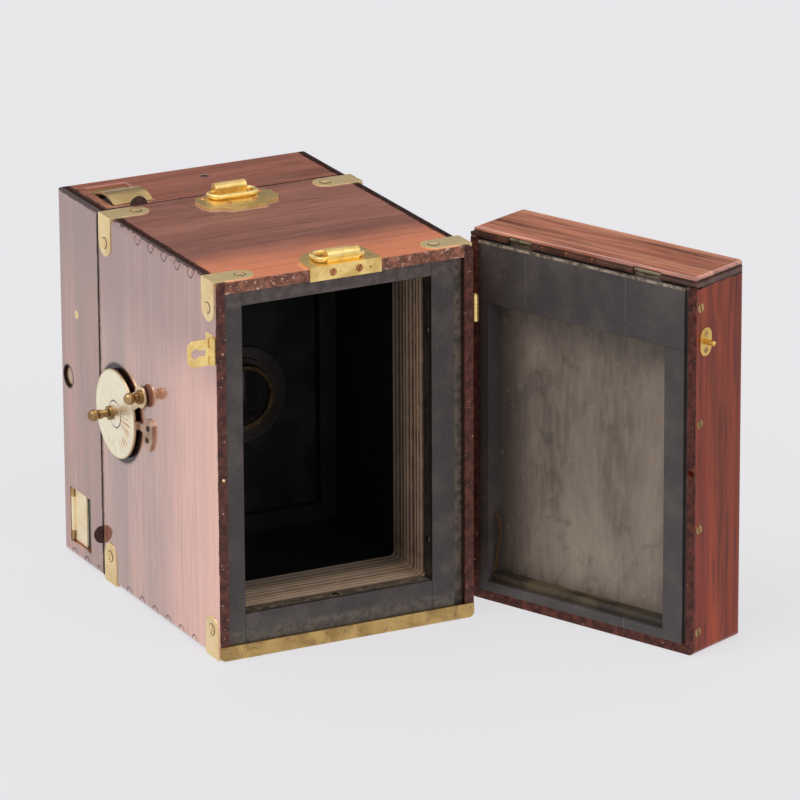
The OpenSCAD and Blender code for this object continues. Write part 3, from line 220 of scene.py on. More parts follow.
def blend_colors(tree, factor, a, b):
    node = new_node(tree, "ShaderNodeMix", data_type="RGBA")
    for socket, value in ((node.inputs[0], factor), (node.inputs[6], a), (node.inputs[7], b)):
        if isinstance(value, (int, float)):
            socket.default_value = value
        elif isinstance(value, tuple):
            socket.default_value = (*value, 1)
        else:
            link(tree, value, socket)
    return node.outputs[2]


def mapped(tree, vector, **settings):
    """Coordinates through one Mapping node, with its Location, Rotation or Scale."""
    mapping = new_node(tree, "ShaderNodeMapping")
    for socket, value in settings.items():
        mapping.inputs[socket].default_value = value
    link(tree, vector, mapping.inputs["Vector"])
    return mapping.outputs["Vector"]


def build_wood_figure():
    """Figure of rosewood: broad dark streaks, fine lines and short pores, along X."""
    group, given, made = new_group(
        "wood_figure",
        [("Vector", "Vector", None), ("Dark", "Color", (0.05, 0.012, 0.008, 1)),
         ("Middle", "Color", (0.19, 0.042, 0.02, 1)), ("Warm", "Color", (0.38, 0.10, 0.035, 1)),
         ("Streaks", "Float", 1.0)],
        [("Color", "Color"), ("Height", "Float")])
    long_way = mapped(group, given.outputs["Vector"], Scale=(1.8, 30.0, 30.0))
    fibre = mapped(group, given.outputs["Vector"], Scale=(40.0, 900.0, 900.0))
    broad = noise(group, long_way, 1.6, detail=4, distortion=0.8)
    fine = noise(group, long_way, 14.0, detail=5, distortion=0.3)
    pores = noise(group, fibre, 1.0, detail=2)
    cloud = noise(group, long_way, 1.1, detail=2, distortion=0.4)
    streak = times(group, ramp(group, broad, 0.50, 0.68), given.outputs["Streaks"])
    lines = ramp(group, fine, 0.47, 0.66)
    warm = blend_colors(group, ramp(group, cloud, 0.35, 0.65),
                        given.outputs["Middle"], given.outputs["Warm"])
    lined = blend_colors(group, times(group, lines, 0.55), warm, given.outputs["Dark"])
    dark = blend_colors(group, times(group, streak, 0.8), lined, given.outputs["Dark"])
    pore = ramp(group, pores, 0.60, 0.72)
    final = blend_colors(group, times(group, pore, 0.35), dark, given.outputs["Dark"])
    link(group, final, made.inputs["Color"])
    link(group, times(group, pore, -0.6), made.inputs["Height"])
    return group


wood_figure = build_wood_figure()


def set_bump(tree, shader, height, distance, strength=0.6):
    bump = new_node(tree, "ShaderNodeBump")
    bump.inputs["Distance"].default_value = distance
    bump.inputs["Strength"].default_value = strength
    link(tree, height, bump.inputs["Height"])
    link(tree, bump.outputs["Normal"], shader.inputs["Normal"])


def axis_value(tree, vector, axis):
    split = new_node(tree, "ShaderNodeSeparateXYZ")
    link(tree, vector, split.inputs[0])
    return split.outputs["XYZ".index(axis)]


QUARTER = math.pi / 2
TURN_BACK, PIVOT = math.radians(113.69), Vector((2.93, -18.94, 0))
STAND = at(-69.07, -18.14, 0)
UPRIGHT = (0, QUARTER, 0)
ACROSS = (0, 0, 0)
ROSE = dict(dark=(0.022, 0.007, 0.005), middle=(0.135, 0.032, 0.018), warm=(0.235, 0.062, 0.028))


def back_place(u, t, z):
    """A place on the back: u from its right end, t away from the case, in millimetres."""
    return STAND + Matrix.Rotation(TURN_BACK, 3, "Z") @ ((Vector((u, t, z)) - PIVOT) * MM)


def piece_coordinates(tree, on_back=False):
    """Object coordinates; on the back they are u, t and z as if it were closed."""
    plain = new_node(tree, "ShaderNodeTexCoord").outputs["Object"]
    if not on_back:
        return plain
    offset = PIVOT * MM - Matrix.Rotation(-TURN_BACK, 3, "Z") @ STAND
    return mapped(tree, plain, Location=offset, Rotation=(0, 0, -TURN_BACK))


def turned_coordinates(tree, vector, turn, scale=(1, 1, 1)):
    """Turns the coordinates, and then stretches them."""
    return mapped(tree, mapped(tree, vector, Rotation=turn), Scale=scale)


def beyond(tree, vector, axis, place):
    """How far a point lies beyond a place along an axis."""
    return math_node(tree, "SUBTRACT", axis_value(tree, vector, axis), place)


def flat_distance(tree, a, b):
    """The length of the offset whose two parts are a and b."""
    return math_node(tree, "SQRT", math_node(
        tree, "ADD", math_node(tree, "POWER", a, 2.0), math_node(tree, "POWER", b, 2.0)))


def thin_line(tree, value, middle, faded, full):
    """A mask of a line where a value is near its middle: full inside, and faded out beyond."""
    return ramp(tree, math_node(tree, "ABSOLUTE", math_node(tree, "SUBTRACT", value, middle)), faded, full)


def near_plane(tree, vector, axis, place, width, wobble=None, reach=0.0):
    """A mask that is 1 within half of width of a plane across an axis, with a shaky edge."""
    away = math_node(tree, "ABSOLUTE", beyond(tree, vector, axis, place))
    if wobble is not None:
        away = math_node(tree, "ADD", away, math_node(tree, "MULTIPLY_ADD", wobble, 2 * reach, -reach))
    return ramp(tree, away, width, width / 2)


def half_moons(tree, vector, level, first, pitch, count):
    """Thin half-moon marks in a row along Y, on the joint of two boards at height level."""
    moon_radius = 0.0031
    place = axis_value(tree, vector, "Y")
    along = math_node(tree, "PINGPONG", math_node(tree, "SUBTRACT", place, first), pitch / 2)
    reach = flat_distance(tree, along, beyond(tree, vector, "Z", level))
    line = thin_line(tree, reach, moon_radius, 0.0007, 0.0002)
    in_row = times(tree, math_node(tree, "GREATER_THAN", place, first - pitch * (count - 0.5)),
                   math_node(tree, "LESS_THAN", place, first + pitch * 0.5))
    return times(tree, times(tree, line, in_row), 0.8)


def polished_wood(name, turn, dark, middle, warm, streaks=1.0, marks=(), dark_seams_and_edge_shade=(), rough_ends=(),
                  joints=(), painted_light_drift=(), below=(), fitting_shadow=None, on_back=False, polish=0.8, gloss=1.5,
                  bare=((0.045, 0.012, 0.009), (0.14, 0.038, 0.024)), chipped=0.68):
    """French polished wood whose grain runs along X after the turn.
    marks: (level, first, pitch, count) of half-moon joint marks.
    dark_seams_and_edge_shade, rough_ends, joints: (axis, place, width) where seams and rounded
    edges are painted nearly black or in the color that is added, without polish, which on the
    rounded edges is painted shade; where the edge is worn to bare, chipped wood; and where two
    boards meet in a thin line.
    bare, chipped: colors of the worn ends, and how few chips they have.
    painted_light_drift: (axis, from, to, color, share) tints the wood gradually along an axis, as painted
    sheen and shade of the polish.
    below: (axis, place, color) is a duller, differently coloured board under a place.
    fitting_shadow: (y, z, radius) of a round fitting on the left, round which the wood is painted dark and
    unpolished as the fitting's shadow."""
    material, tree, shader = blank_material(name)
    plain = piece_coordinates(tree, on_back)
    figure = group_node(tree, wood_figure, Vector=turned_coordinates(tree, plain, turn), Dark=(*dark, 1),
                        Middle=(*middle, 1), Warm=(*warm, 1), Streaks=streaks)
    color = figure.outputs["Color"]
    height = figure.outputs["Height"]
    rough = math_node(tree, "MULTIPLY_ADD", noise(tree, plain, 60, detail=3), 0.10, 0.14)
    wobble = noise(tree, plain, 220, detail=3)
    unpolished = []
    # Painted light: gradual tints along an axis stand in for the sheen and shade of the polish.
    for axis, low, high, tint, share in painted_light_drift:
        lines = noise(tree, turned_coordinates(tree, plain, turn, (9, 420, 420)), 1.0, detail=4)
        unlined = math_node(tree, "MULTIPLY_ADD", ramp(tree, lines, 0.5, 0.68), -0.4, 1.0)
        uneven = math_node(tree, "MULTIPLY_ADD", noise(tree, plain, 30, detail=3), 0.03,
                           axis_value(tree, plain, axis))
        mask = times(tree, ramp(tree, uneven, low + 0.015, high + 0.015), unlined)
        color = blend_colors(tree, times(tree, mask, share), color, tint)
    # Seams and rounded edges are painted nearly black and unpolished; on the rounded edges this is painted
    # shade.
    for axis, place, width, *tint in dark_seams_and_edge_shade:
        mask = near_plane(tree, plain, axis, place, width, wobble, reach=0.0012)
        color = blend_colors(tree, times(tree, mask, 0.92), color, *(tint or [(0.020, 0.005, 0.003)]))
        unpolished.append(times(tree, mask, 0.95))
    for axis, place, tint in below:
        uneven = math_node(tree, "MULTIPLY_ADD", wobble, 0.0004, axis_value(tree, plain, axis))
        mask = ramp(tree, uneven, place + 0.0003, place + 0.0001)
        clouds = ramp(tree, noise(tree, plain, 160, detail=4), 0.3, 0.7)
        board = blend_colors(tree, clouds, tint, tuple(2.2 * part for part in tint))
        color = blend_colors(tree, mask, color, board)
        unpolished.append(times(tree, mask, 0.9))
    for axis, place, width in rough_ends:
        mask = near_plane(tree, plain, axis, place, width, wobble, reach=0.0009)
        raw = blend_colors(tree, ramp(tree, noise(tree, plain, 240, detail=5), 0.35, 0.7), *bare)
        chips = ramp(tree, noise(tree, plain, 620, detail=3, distortion=0.4), chipped, chipped + 0.04)
        raw = blend_colors(tree, chips, raw, (0.60, 0.43, 0.31))
        color = blend_colors(tree, mask, color, raw)
        unpolished.append(mask)
        rough = math_node(tree, "ADD", rough, times(tree, mask, 0.35))
        height = math_node(tree, "ADD", height, times(tree, mask, wobble))
    for level, first, pitch, count in marks:
        mask = half_moons(tree, plain, level, first, pitch, count)
        color = blend_colors(tree, mask, color, (0.03, 0.010, 0.006))
        unpolished.append(mask)
    # Painted shadow of a round fitting: a dark disc on the wood round it, with the polish taken off.
    if fitting_shadow:
        y, z, radius = fitting_shadow
        reach = flat_distance(tree, beyond(tree, plain, "Y", y), beyond(tree, plain, "Z", z))
        on_left = math_node(tree, "GREATER_THAN", axis_value(tree, plain, "X"), 0.06)
        mask = times(tree, ramp(tree, reach, radius * 1.05, radius * 0.97), on_left)
        color = blend_colors(tree, mask, color, (0.02, 0.008, 0.005))
        unpolished.append(mask)
    for axis, place, width in joints:
        mask = near_plane(tree, plain, axis, place, width, wobble, reach=width * 0.3)
        color = blend_colors(tree, times(tree, mask, 0.7), color, (0.015, 0.006, 0.005))
    link(tree, color, shader.inputs["Base Color"])
    link(tree, rough, shader.inputs["Roughness"])
    shader.inputs["IOR"].default_value = min(gloss, 1.4)
    shader.inputs["Coat IOR"].default_value = gloss
    shader.inputs["Coat Roughness"].default_value = 0.06
    shader.inputs["Coat Weight"].default_value = polish
    if unpolished:
        most = unpolished[0]
        for mask in unpolished[1:]:
            most = math_node(tree, "MAXIMUM", most, mask)
        link(tree, math_node(tree, "MULTIPLY_ADD", most, -polish, polish), shader.inputs["Coat Weight"])
    set_bump(tree, shader, height, 0.00009)
    return material


def finish_piece(piece, body, material, stands_for=()):
    """Gives a piece its finish, and says what it rides on and replaces."""
    piece.data.materials.clear()
    piece.data.materials.append(material)
    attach(piece, body)
    if stands_for:
        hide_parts(*stands_for)


def apply_modifiers(piece):
    deselect()
    piece.select_set(True)
    bpy.context.view_layer.objects.active = piece
    for modifier in list(piece.modifiers):
        bpy.ops.object.modifier_apply(modifier=modifier.name)


def smooth_by_angle(piece, degrees=35):
    """Smooth shading between faces that meet at a small angle, with flat faces kept flat."""
    deselect()
    piece.select_set(True)
    bpy.context.view_layer.objects.active = piece
    bpy.ops.object.shade_smooth_by_angle(angle=math.radians(degrees))
    flat = piece.modifiers.new("flat_faces", "WEIGHTED_NORMAL")
    flat.keep_sharp = True
    apply_modifiers(piece)


def bevel_piece(piece, width, segments=2, degrees=30):
    bevel = piece.modifiers.new("edges", "BEVEL")
    bevel.width = width
    bevel.segments = segments
    bevel.limit_method = "ANGLE"
    bevel.angle_limit = math.radians(degrees)
    apply_modifiers(piece)
    smooth_by_angle(piece)


def worn_node(node, body, material, width, segments=2):
    """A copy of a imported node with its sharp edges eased, as handling leaves them."""
    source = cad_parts[node]
    piece = source.copy()
    piece.data = source.data.copy()
    piece.name = node + "_worn"
    piece.parent = None
    bpy.context.collection.objects.link(piece)
    deselect()
    piece.select_set(True)
    bpy.context.view_layer.objects.active = piece
    bpy.ops.object.mode_set(mode="EDIT")
    bpy.ops.mesh.select_all(action="SELECT")
    bpy.ops.mesh.remove_doubles(threshold=0.000002)
    bpy.ops.mesh.dissolve_limited(angle_limit=math.radians(0.5))
    bpy.ops.object.mode_set(mode="OBJECT")
    if width:
        bevel_piece(piece, width, segments)
    else:
        smooth_by_angle(piece)
    finish_piece(piece, body, material, (node,))


def turned_piece(name, rings, place, turn=(0, 0, 0), sides=40):
    """A turned piece: rings are (radius, height) from its foot to its top, in millimetres."""
    deselect()
    radius, height = rings[0]
    bpy.ops.mesh.primitive_circle_add(vertices=sides, radius=radius * MM, fill_type="NGON",
                                      location=(0, 0, height * MM))
    piece = bpy.context.object
    piece.name = name
    bpy.ops.object.mode_set(mode="EDIT")
    bpy.ops.mesh.select_all(action="SELECT")
    for next_radius, next_height in rings[1:]:
        bpy.ops.mesh.extrude_region_move(
            TRANSFORM_OT_translate={"value": (0, 0, (next_height - height) * MM)})
        factor = next_radius / radius
        bpy.ops.transform.resize(value=(factor, factor, 1))
        radius, height = next_radius, next_height
    bpy.ops.mesh.select_all(action="SELECT")
    bpy.ops.mesh.normals_make_consistent(inside=False)
    bpy.ops.object.mode_set(mode="OBJECT")
    bpy.ops.object.transform_apply(location=True, rotation=True, scale=True)
    piece.rotation_euler = turn
    piece.location = place
    bpy.ops.object.transform_apply(location=True, rotation=True, scale=True)
    smooth_by_angle(piece)
    return piece


REAR, SEAM, TOP = REAR_PLANE * MM, -REAR_PLANE * MM, 0.2
TOP_JOINT = 0.0672
DISC_Y, DISC_Z = -0.0465, 0.098
side_marks = [(0.1985, 0.0405, 0.01575, 5), (0.0015, 0.0395, 0.0158, 6)]
# Painted shade along the top and bottom rounded edges of the sides.
side_edge_shade = [("Z", TOP, 0.0009), ("Z", 0.0, 0.0010)]
rear_rim = [("Y", REAR, 0.0009)]
# Left side: its pale colours are painted sheen of the polish. Its drifts paint it paler and pinker towards
# the rear as painted sheen and darker at the top as painted shade, and a painted shadow of the focusing disc
# lies round the disc.
wood_left_painted_sheen = polished_wood(
    "rosewood_left_painted_sheen", UPRIGHT, dark=(0.20, 0.072, 0.046), middle=(0.40, 0.165, 0.108),
    warm=(0.58, 0.24, 0.155), streaks=0.7, polish=1.0, gloss=2.6,
    marks=side_marks, fitting_shadow=(DISC_Y, DISC_Z, 0.0262),
    dark_seams_and_edge_shade=[("Y", SEAM, 0.0026, (0.36, 0.20, 0.11)), ("Y", SEAM, 0.0011), *side_edge_shade],
    rough_ends=rear_rim,
    painted_light_drift=[("Y", -0.02, 0.07, (1.0, 0.44, 0.29), 0.7), ("Z", 0.13, 0.17, (0.20, 0.03, 0.010), 0.8)])
wood_right = polished_wood(
    "rosewood_right", UPRIGHT, **ROSE, streaks=0.8, marks=side_marks,
    dark_seams_and_edge_shade=[*side_edge_shade, ("X", -0.067, 0.0007)], rough_ends=rear_rim)
# Top: its greyish colours are painted sheen of the polish, and its drift paints it orange towards the rear as
# painted reflection.
wood_top_painted_sheen = polished_wood(
    "rosewood_top_painted_sheen", ACROSS, dark=(0.20, 0.088, 0.070), middle=(0.36, 0.150, 0.116),
    warm=(0.48, 0.20, 0.150), streaks=0.8,
    dark_seams_and_edge_shade=[("X", TOP_JOINT, 0.002), ("X", -TOP_JOINT, 0.002)],
    painted_light_drift=[("Y", 0.012, 0.055, (1.0, 0.34, 0.17), 0.84)], joints=[("Y", 0.0085, 0.00025)],
    rough_ends=rear_rim, bare=((0.13, 0.045, 0.030), (0.36, 0.14, 0.085)), chipped=0.62)
wood_bottom = polished_wood("rosewood_bottom", ACROSS, **ROSE)

worn_node("case_left_side", "camera_body", wood_left_painted_sheen, 0.00035)
worn_node("case_right_side", "camera_body", wood_right, 0.00035)
worn_node("case_top", "camera_body", wood_top_painted_sheen, 0.0005)
worn_node("case_bottom", "camera_body", wood_bottom, 0.00035)

# Rear frame and insides: blackened wood with a satin, dusty surface. The stiles and rails of
# the frame butt together, and the runners and the carriage are painted the same way.


def build_speckle():
    """Scattered small marks, such as dust, chips and pits."""
    group, given, made = new_group(
        "speckle",
        [("Vector", "Vector", None), ("Scale", "Float", 300.0), ("Amount", "Float", 0.2)],
        [("Mask", "Float")])
    cells = new_node(group, "ShaderNodeTexVoronoi", feature="F1")
    link(group, given.outputs["Vector"], cells.inputs["Vector"])
    link(group, given.outputs["Scale"], cells.inputs["Scale"])
    near = ramp(group, cells.outputs["Distance"], 0.30, 0.12)
    split = new_node(group, "ShaderNodeSeparateColor")
    link(group, cells.outputs["Color"], split.inputs[0])
    picked = math_node(group, "LESS_THAN", split.outputs[0], given.outputs["Amount"])
    link(group, times(group, near, picked), made.inputs["Mask"])
    return group


speckle = build_speckle()


def black_wood(name, color, dust=(0.115, 0.092, 0.083), amount=0.6, joints=(), bare=(), on_back=False,
               specks=0.5, sheen=0.5):
    """Blackened wood, dusted by amount and speckled by specks.
    joints: (axis, place, width) of thin dark lines.
    bare: (axis, place, width, dark, light) of strips in two colors: worn strips, and strips of painted shade
    and painted light."""
    material, tree, shader = blank_material(name)
    plain = piece_coordinates(tree, on_back)
    grain = noise(tree, turned_coordinates(tree, plain, UPRIGHT, (90, 1400, 1400)), 1.0, detail=4)
    clouds = noise(tree, plain, 45, detail=4)
    dots = group_node(tree, speckle, Vector=plain, Scale=1000.0, Amount=0.3)
    wobble = noise(tree, plain, 260, detail=3)
    dusty = times(tree, ramp(tree, clouds, 0.42, 0.72), amount)
    dusty = math_node(tree, "MULTIPLY_ADD", ramp(tree, grain, 0.5, 0.75), 0.25 * amount, dusty)
    tone = blend_colors(tree, dusty, color, dust)
    specked = times(tree, dots.outputs["Mask"], specks)
    tone = blend_colors(tree, specked, tone, (0.22, 0.19, 0.17))
    for axis, place, width, dark, light in bare:
        mask = near_plane(tree, plain, axis, place, width, wobble, reach=min(0.0008, width / 3))
        worn = blend_colors(tree, ramp(tree, wobble, 0.38, 0.62), dark, light)
        tone = blend_colors(tree, mask, tone, worn)
    for axis, place, width in joints:
        mask = near_plane(tree, plain, axis, place, width)
        tone = blend_colors(tree, times(tree, mask, 0.8), tone, (0.002, 0.002, 0.002))
    link(tree, tone, shader.inputs["Base Color"])
    link(tree, math_node(tree, "MULTIPLY_ADD", clouds, 0.25, 0.33), shader.inputs["Roughness"])
    shader.inputs["Specular IOR Level"].default_value = sheen
    set_bump(tree, shader, math_node(tree, "ADD", grain, wobble), 0.00012, strength=0.5)
    return material


frame_black = black_wood(
    "frame_black", color=(0.038, 0.029, 0.027), amount=0.55,
    joints=[("X", 0.0572, 0.00025), ("X", -0.0488, 0.00025), ("X", -0.0624, 0.0004)],
    bare=[("Z", 0.1905, 0.0062, (0.050, 0.036, 0.032), (0.095, 0.070, 0.062)),
          ("Z", 0.0105, 0.0056, (0.056, 0.045, 0.037), (0.105, 0.084, 0.066)),
          ("X", -0.0652, 0.0026, (0.028, 0.019, 0.014), (0.10, 0.070, 0.048)),
          # The strip along Y is the worn inner wall, coloured lighter than its wear so that it shows in the
          # shade: partly painted light.
          ("Y", 0.0635, 0.0040, (0.07, 0.053, 0.038), (0.20, 0.152, 0.104))])
inside_black = black_wood(
    "inside_black", color=(0.004, 0.0036, 0.0035), dust=(0.016, 0.013, 0.012), amount=0.3,
    specks=0.08, sheen=0.2)
board_black = black_wood(
    "board_black", color=(0.005, 0.0045, 0.0045), dust=(0.03, 0.024, 0.022), amount=0.4,
    specks=0.12, sheen=0.15)
worn_node("rear_frame", "camera_body", frame_black, 0.00025)
worn_node("carriage_runners", "camera_body", inside_black, 0.0003)
worn_node("carriage_box", "lens_carriage", inside_black, 0.0003)
worn_node("lens_board", "lens_carriage", board_black, 0.0002)

# Bellows: brown-black leather folded in eighteen uneven flats. The crests stand at the
# light opening, rubbed pale and with painted light, the folds are painted dark as shade, and the
# valleys lie further out. Sizes are in millimetres.
OPENING_X, OPENING_Z = 4.2, 104.75
OPENING_WIDE, OPENING_HIGH = 106, 163.5
VALLEY_DEEP = 6.3
FOLDS, FOLDED_LENGTH = 18, 34.5
BELLOWS_REAR = -10.5
LEATHER_THICK = 0.6


def build_bellows_leather():
    """Leather painted black down in the folds and darker deeper in, as shade, and pale brown along the
    crests, as rubbed wear and painted light.
    """
    material, tree, shader = blank_material("bellows_leather")
    plain = piece_coordinates(tree)
    across, upward = (math_node(tree, "ABSOLUTE", beyond(tree, plain, axis, middle * MM))
                      for axis, middle in (("X", OPENING_X), ("Z", OPENING_Z)))
    depth = math_node(tree, "MAXIMUM", math_node(tree, "SUBTRACT", across, OPENING_WIDE / 2 * MM),
                      math_node(tree, "SUBTRACT", upward, OPENING_HIGH / 2 * MM))
    wear = noise(tree, plain, 130, detail=4)
    grain = noise(tree, plain, 900, detail=3)
    # Painted shade: black down in the folds.
    fold = ramp(tree, depth, -0.0006, 0.0030)
    tone = blend_colors(tree, fold, (0.17, 0.092, 0.052), (0.003, 0.002, 0.0015))
    tone = blend_colors(tree, times(tree, ramp(tree, wear, 0.4, 0.7), 0.5), tone, (0.15, 0.09, 0.06))
    # Crests rubbed pale, and painted paler as light.
    crest = ramp(tree, math_node(tree, "MULTIPLY_ADD", wear, -0.0016, depth), 0.0009, -0.0008)
    tone = blend_colors(tree, times(tree, crest, 0.85), tone, (0.40, 0.25, 0.15))
    floor = ramp(tree, axis_value(tree, plain, "Z"), 0.034, 0.026)
    dusty = times(tree, math_node(tree, "SUBTRACT", floor, fold), 0.5)
    tone = blend_colors(tree, dusty, tone, (0.66, 0.46, 0.30))
    # Painted shade, darker deeper inside the camera.
    inner_shade = ramp(tree, axis_value(tree, plain, "Y"), 0.052, 0.024)
    tone = blend_colors(tree, times(tree, inner_shade, 0.75), tone, (0.016, 0.010, 0.007))
    link(tree, tone, shader.inputs["Base Color"])
    link(tree, math_node(tree, "MULTIPLY_ADD", grain, 0.3, 0.42), shader.inputs["Roughness"])
    set_bump(tree, shader, math_node(tree, "ADD", grain, wear), 0.00012)
    return material


rear_end = at(OPENING_X, BELLOWS_REAR, OPENING_Z)
deselect()
bpy.ops.mesh.primitive_plane_add(size=1, rotation=(QUARTER, 0, 0), location=rear_end)
bellows = bpy.context.object
bellows.name = "bellows_folds"
bellows.scale = (OPENING_WIDE * MM, OPENING_HIGH * MM, 1)
bpy.ops.object.transform_apply(location=False, rotation=True, scale=True)
bpy.ops.object.mode_set(mode="EDIT")
bpy.ops.mesh.select_all(action="SELECT")
bpy.ops.mesh.bevel(offset=0.0022, segments=2, affect="VERTICES")
bpy.ops.mesh.delete(type="ONLY_FACE")
bpy.ops.mesh.select_all(action="SELECT")
grow_x, grow_z = 1 + 2 * VALLEY_DEEP / OPENING_WIDE, 1 + 2 * VALLEY_DEEP / OPENING_HIGH
flats = [1 + 0.45 * math.sin(2.3 * fold) for fold in range(FOLDS)]
for fold, flat in enumerate(flats):
    outward = fold % 2 == 0
    step = -FOLDED_LENGTH * MM * flat / sum(flats)
    bpy.ops.mesh.extrude_region_move(TRANSFORM_OT_translate={"value": (0, step, 0)})
    bpy.ops.transform.resize(value=(grow_x, 1, grow_z) if outward else (1 / grow_x, 1, 1 / grow_z))
bpy.ops.mesh.select_all(action="SELECT")
bpy.ops.mesh.normals_make_consistent(inside=True)
bpy.ops.object.mode_set(mode="OBJECT")
bpy.ops.object.transform_apply(location=True, rotation=True, scale=True)
thick = bellows.modifiers.new("leather", "SOLIDIFY")
thick.thickness = LEATHER_THICK * MM
thick.offset = -1
bevel_piece(bellows, 0.00028, segments=3, degrees=40)
bellows.data.materials.append(build_bellows_leather())
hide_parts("bellows")
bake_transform(bellows)

# Brass: every fitting has the same metal under a different skin, from bright and handled
# to brown and spotted, with fine scratches that cross at random.


def build_metal_wear():
    """Skin of handled metal: clouds and spots of tarnish under fine scratches."""
    group, given, made = new_group(
        "metal_wear",
        [("Vector", "Vector", None), ("Clean", "Color", (0.70, 0.48, 0.20, 1)),
         ("Tarnish", "Color", (0.30, 0.18, 0.07, 1)), ("Amount", "Float", 0.5), ("Scratches", "Float", 0.5)],
        [("Color", "Color"), ("Rough", "Float"), ("Height", "Float")])
    clouds = noise(group, given.outputs["Vector"], 75, detail=5, distortion=0.6, roughness=0.62)
    spots = noise(group, given.outputs["Vector"], 480, detail=4, distortion=0.2)
    mask = times(group, ramp(group, clouds, 0.38, 0.68), given.outputs["Amount"])
    dots = times(group, ramp(group, spots, 0.60, 0.74), given.outputs["Amount"])
    skin = math_node(group, "MINIMUM", math_node(group, "ADD", mask, dots), 1.0)
    lines = None
    for turn in ((0.5, 0.3, 0.7), (1.9, 0.8, 2.1), (0.9, 2.2, 1.2)):
        long_way = mapped(group, given.outputs["Vector"], Rotation=turn, Scale=(60, 1500, 1500))
        line = thin_line(group, noise(group, long_way, 1.0, detail=1), 0.5, 0.012, 0.002)
        lines = line if lines is None else math_node(group, "MAXIMUM", lines, line)
    lines = times(group, lines, given.outputs["Scratches"])
    color = blend_colors(group, skin, given.outputs["Clean"], given.outputs["Tarnish"])
    color = blend_colors(group, times(group, lines, 0.35), color, given.outputs["Tarnish"])
    link(group, color, made.inputs["Color"])
    link(group, math_node(group, "MAXIMUM", skin, times(group, lines, 0.6)), made.inputs["Rough"])
    link(group, math_node(group, "SUBTRACT", times(group, spots, 0.4), lines), made.inputs["Height"])
    return group


SCREW_RADIUS = 0.00295
metal_wear = build_metal_wear()


def screw_gap_shade(tree, vector, middle):
    """A thin circle of painted shade for the gap round a screw head, on any face that holds the point middle.
    """
    away = new_node(tree, "ShaderNodeVectorMath", operation="DISTANCE")
    away.inputs[1].default_value = middle
    link(tree, vector, away.inputs[0])
    return thin_line(tree, away.outputs["Value"], SCREW_RADIUS, 0.0003, 0.00012)


def metal(name, clean, tarnish, amount, scratches, rough, on_back=False, depth=0.00004, darker=None,
          rings=()):
    """Clean metal, tarnished by amount and scratched to a depth.
    darker: (axis, from, to) between which the metal is nearly black.
    rings: the middles of screw heads with a thin ring of painted shade round them, for the gap."""
    material, tree, shader = blank_material(name)
    plain = piece_coordinates(tree, on_back)
    wear = group_node(tree, metal_wear, Vector=plain, Clean=(*clean, 1), Tarnish=(*tarnish, 1),
                      Amount=amount, Scratches=scratches)
    color = wear.outputs["Color"]
    if darker:
        axis, low, high = darker
        inside = math_node(tree, "COMPARE", axis_value(tree, plain, axis), (low + high) / 2, (high - low) / 2)
        color = blend_colors(tree, inside, color, (0.07, 0.045, 0.032))
    for middle in rings:
        # Painted shade in the gap round each screw head.
        color = blend_colors(tree, screw_gap_shade(tree, plain, middle), color, (0.06, 0.035, 0.015))
    link(tree, color, shader.inputs["Base Color"])
    shader.inputs["Metallic"].default_value = 1.0
    rough = math_node(tree, "MULTIPLY_ADD", wear.outputs["Rough"], 0.25, rough)
    link(tree, rough, shader.inputs["Roughness"])
    set_bump(tree, shader, wear.outputs["Height"], depth, strength=0.5)
    return material


satin_brass = metal("satin_brass", clean=(0.94, 0.74, 0.40), tarnish=(0.62, 0.43, 0.18),
                    amount=0.45, scratches=0.4, rough=0.38,
                    rings=[(x, y, z) for y in (0.0611, -0.0618) for x, z in (
                        (0.0542, 0.2004), (-0.0542, 0.2004), (0.0724, 0.1856), (0.0724, 0.0148))])
yellow_brass = metal("yellow_brass", clean=(1.0, 0.75, 0.29), tarnish=(0.52, 0.29, 0.07),
                     amount=0.55, scratches=0.5, rough=0.27)
aged_brass = metal("aged_brass", clean=(0.42, 0.28, 0.12), tarnish=(0.12, 0.075, 0.035),
                   amount=0.75, scratches=0.6, rough=0.36)
bronze = metal("dark_bronze", clean=(0.46, 0.30, 0.14), tarnish=(0.16, 0.09, 0.04),
               amount=0.7, scratches=0.4, rough=0.24)
screw_bronze = metal("screw_bronze", clean=(0.50, 0.32, 0.15), tarnish=(0.18, 0.10, 0.045),
                     amount=0.6, scratches=0.5, rough=0.30, darker=("Y", 0.055, 0.0678))
copper = metal("copper_screws", clean=(0.55, 0.25, 0.11), tarnish=(0.20, 0.08, 0.035),
               amount=0.5, scratches=0.4, rough=0.30, darker=("X", 0.0715, 0.09))
black_metal = metal("black_metal", clean=(0.05, 0.045, 0.04), tarnish=(0.02, 0.015, 0.012),
                    amount=0.6, scratches=0.6, rough=0.34)

# Lens: a black flange with a raised ring, screwed to the board, and a bronzed barrel. The
# glasses are deeply curved, with a thin film of dust, and painted opaque and near black as the
# shade inside the camera, so they read black with thin brown arcs.
barrel_brown = metal("barrel_bronze", clean=(0.10, 0.065, 0.035), tarnish=(0.02, 0.014, 0.009),
                     amount=0.8, scratches=0.5, rough=0.30)


def build_glass(name, color, rough, clear):
    """Glass with a thin film of dust."""
    material, tree, shader = blank_material(name)
    plain = piece_coordinates(tree)
    dust = ramp(tree, noise(tree, plain, 350, detail=4), 0.55, 0.8)
    tone = blend_colors(tree, times(tree, dust, 0.12), color, (0.25, 0.22, 0.2))
    link(tree, tone, shader.inputs["Base Color"])
    link(tree, math_node(tree, "MULTIPLY_ADD", dust, 0.12, rough), shader.inputs["Roughness"])
    shader.inputs["Transmission Weight"].default_value = clear
    shader.inputs["IOR"].default_value = 1.5
    return material


# Painted shade: the glass is opaque and near black.
lens_glass = build_glass("lens_glass", (0.012, 0.010, 0.011), rough=0.04, clear=0.0)
worn_node("lens_flange", "lens_carriage", black_metal, 0.0002)
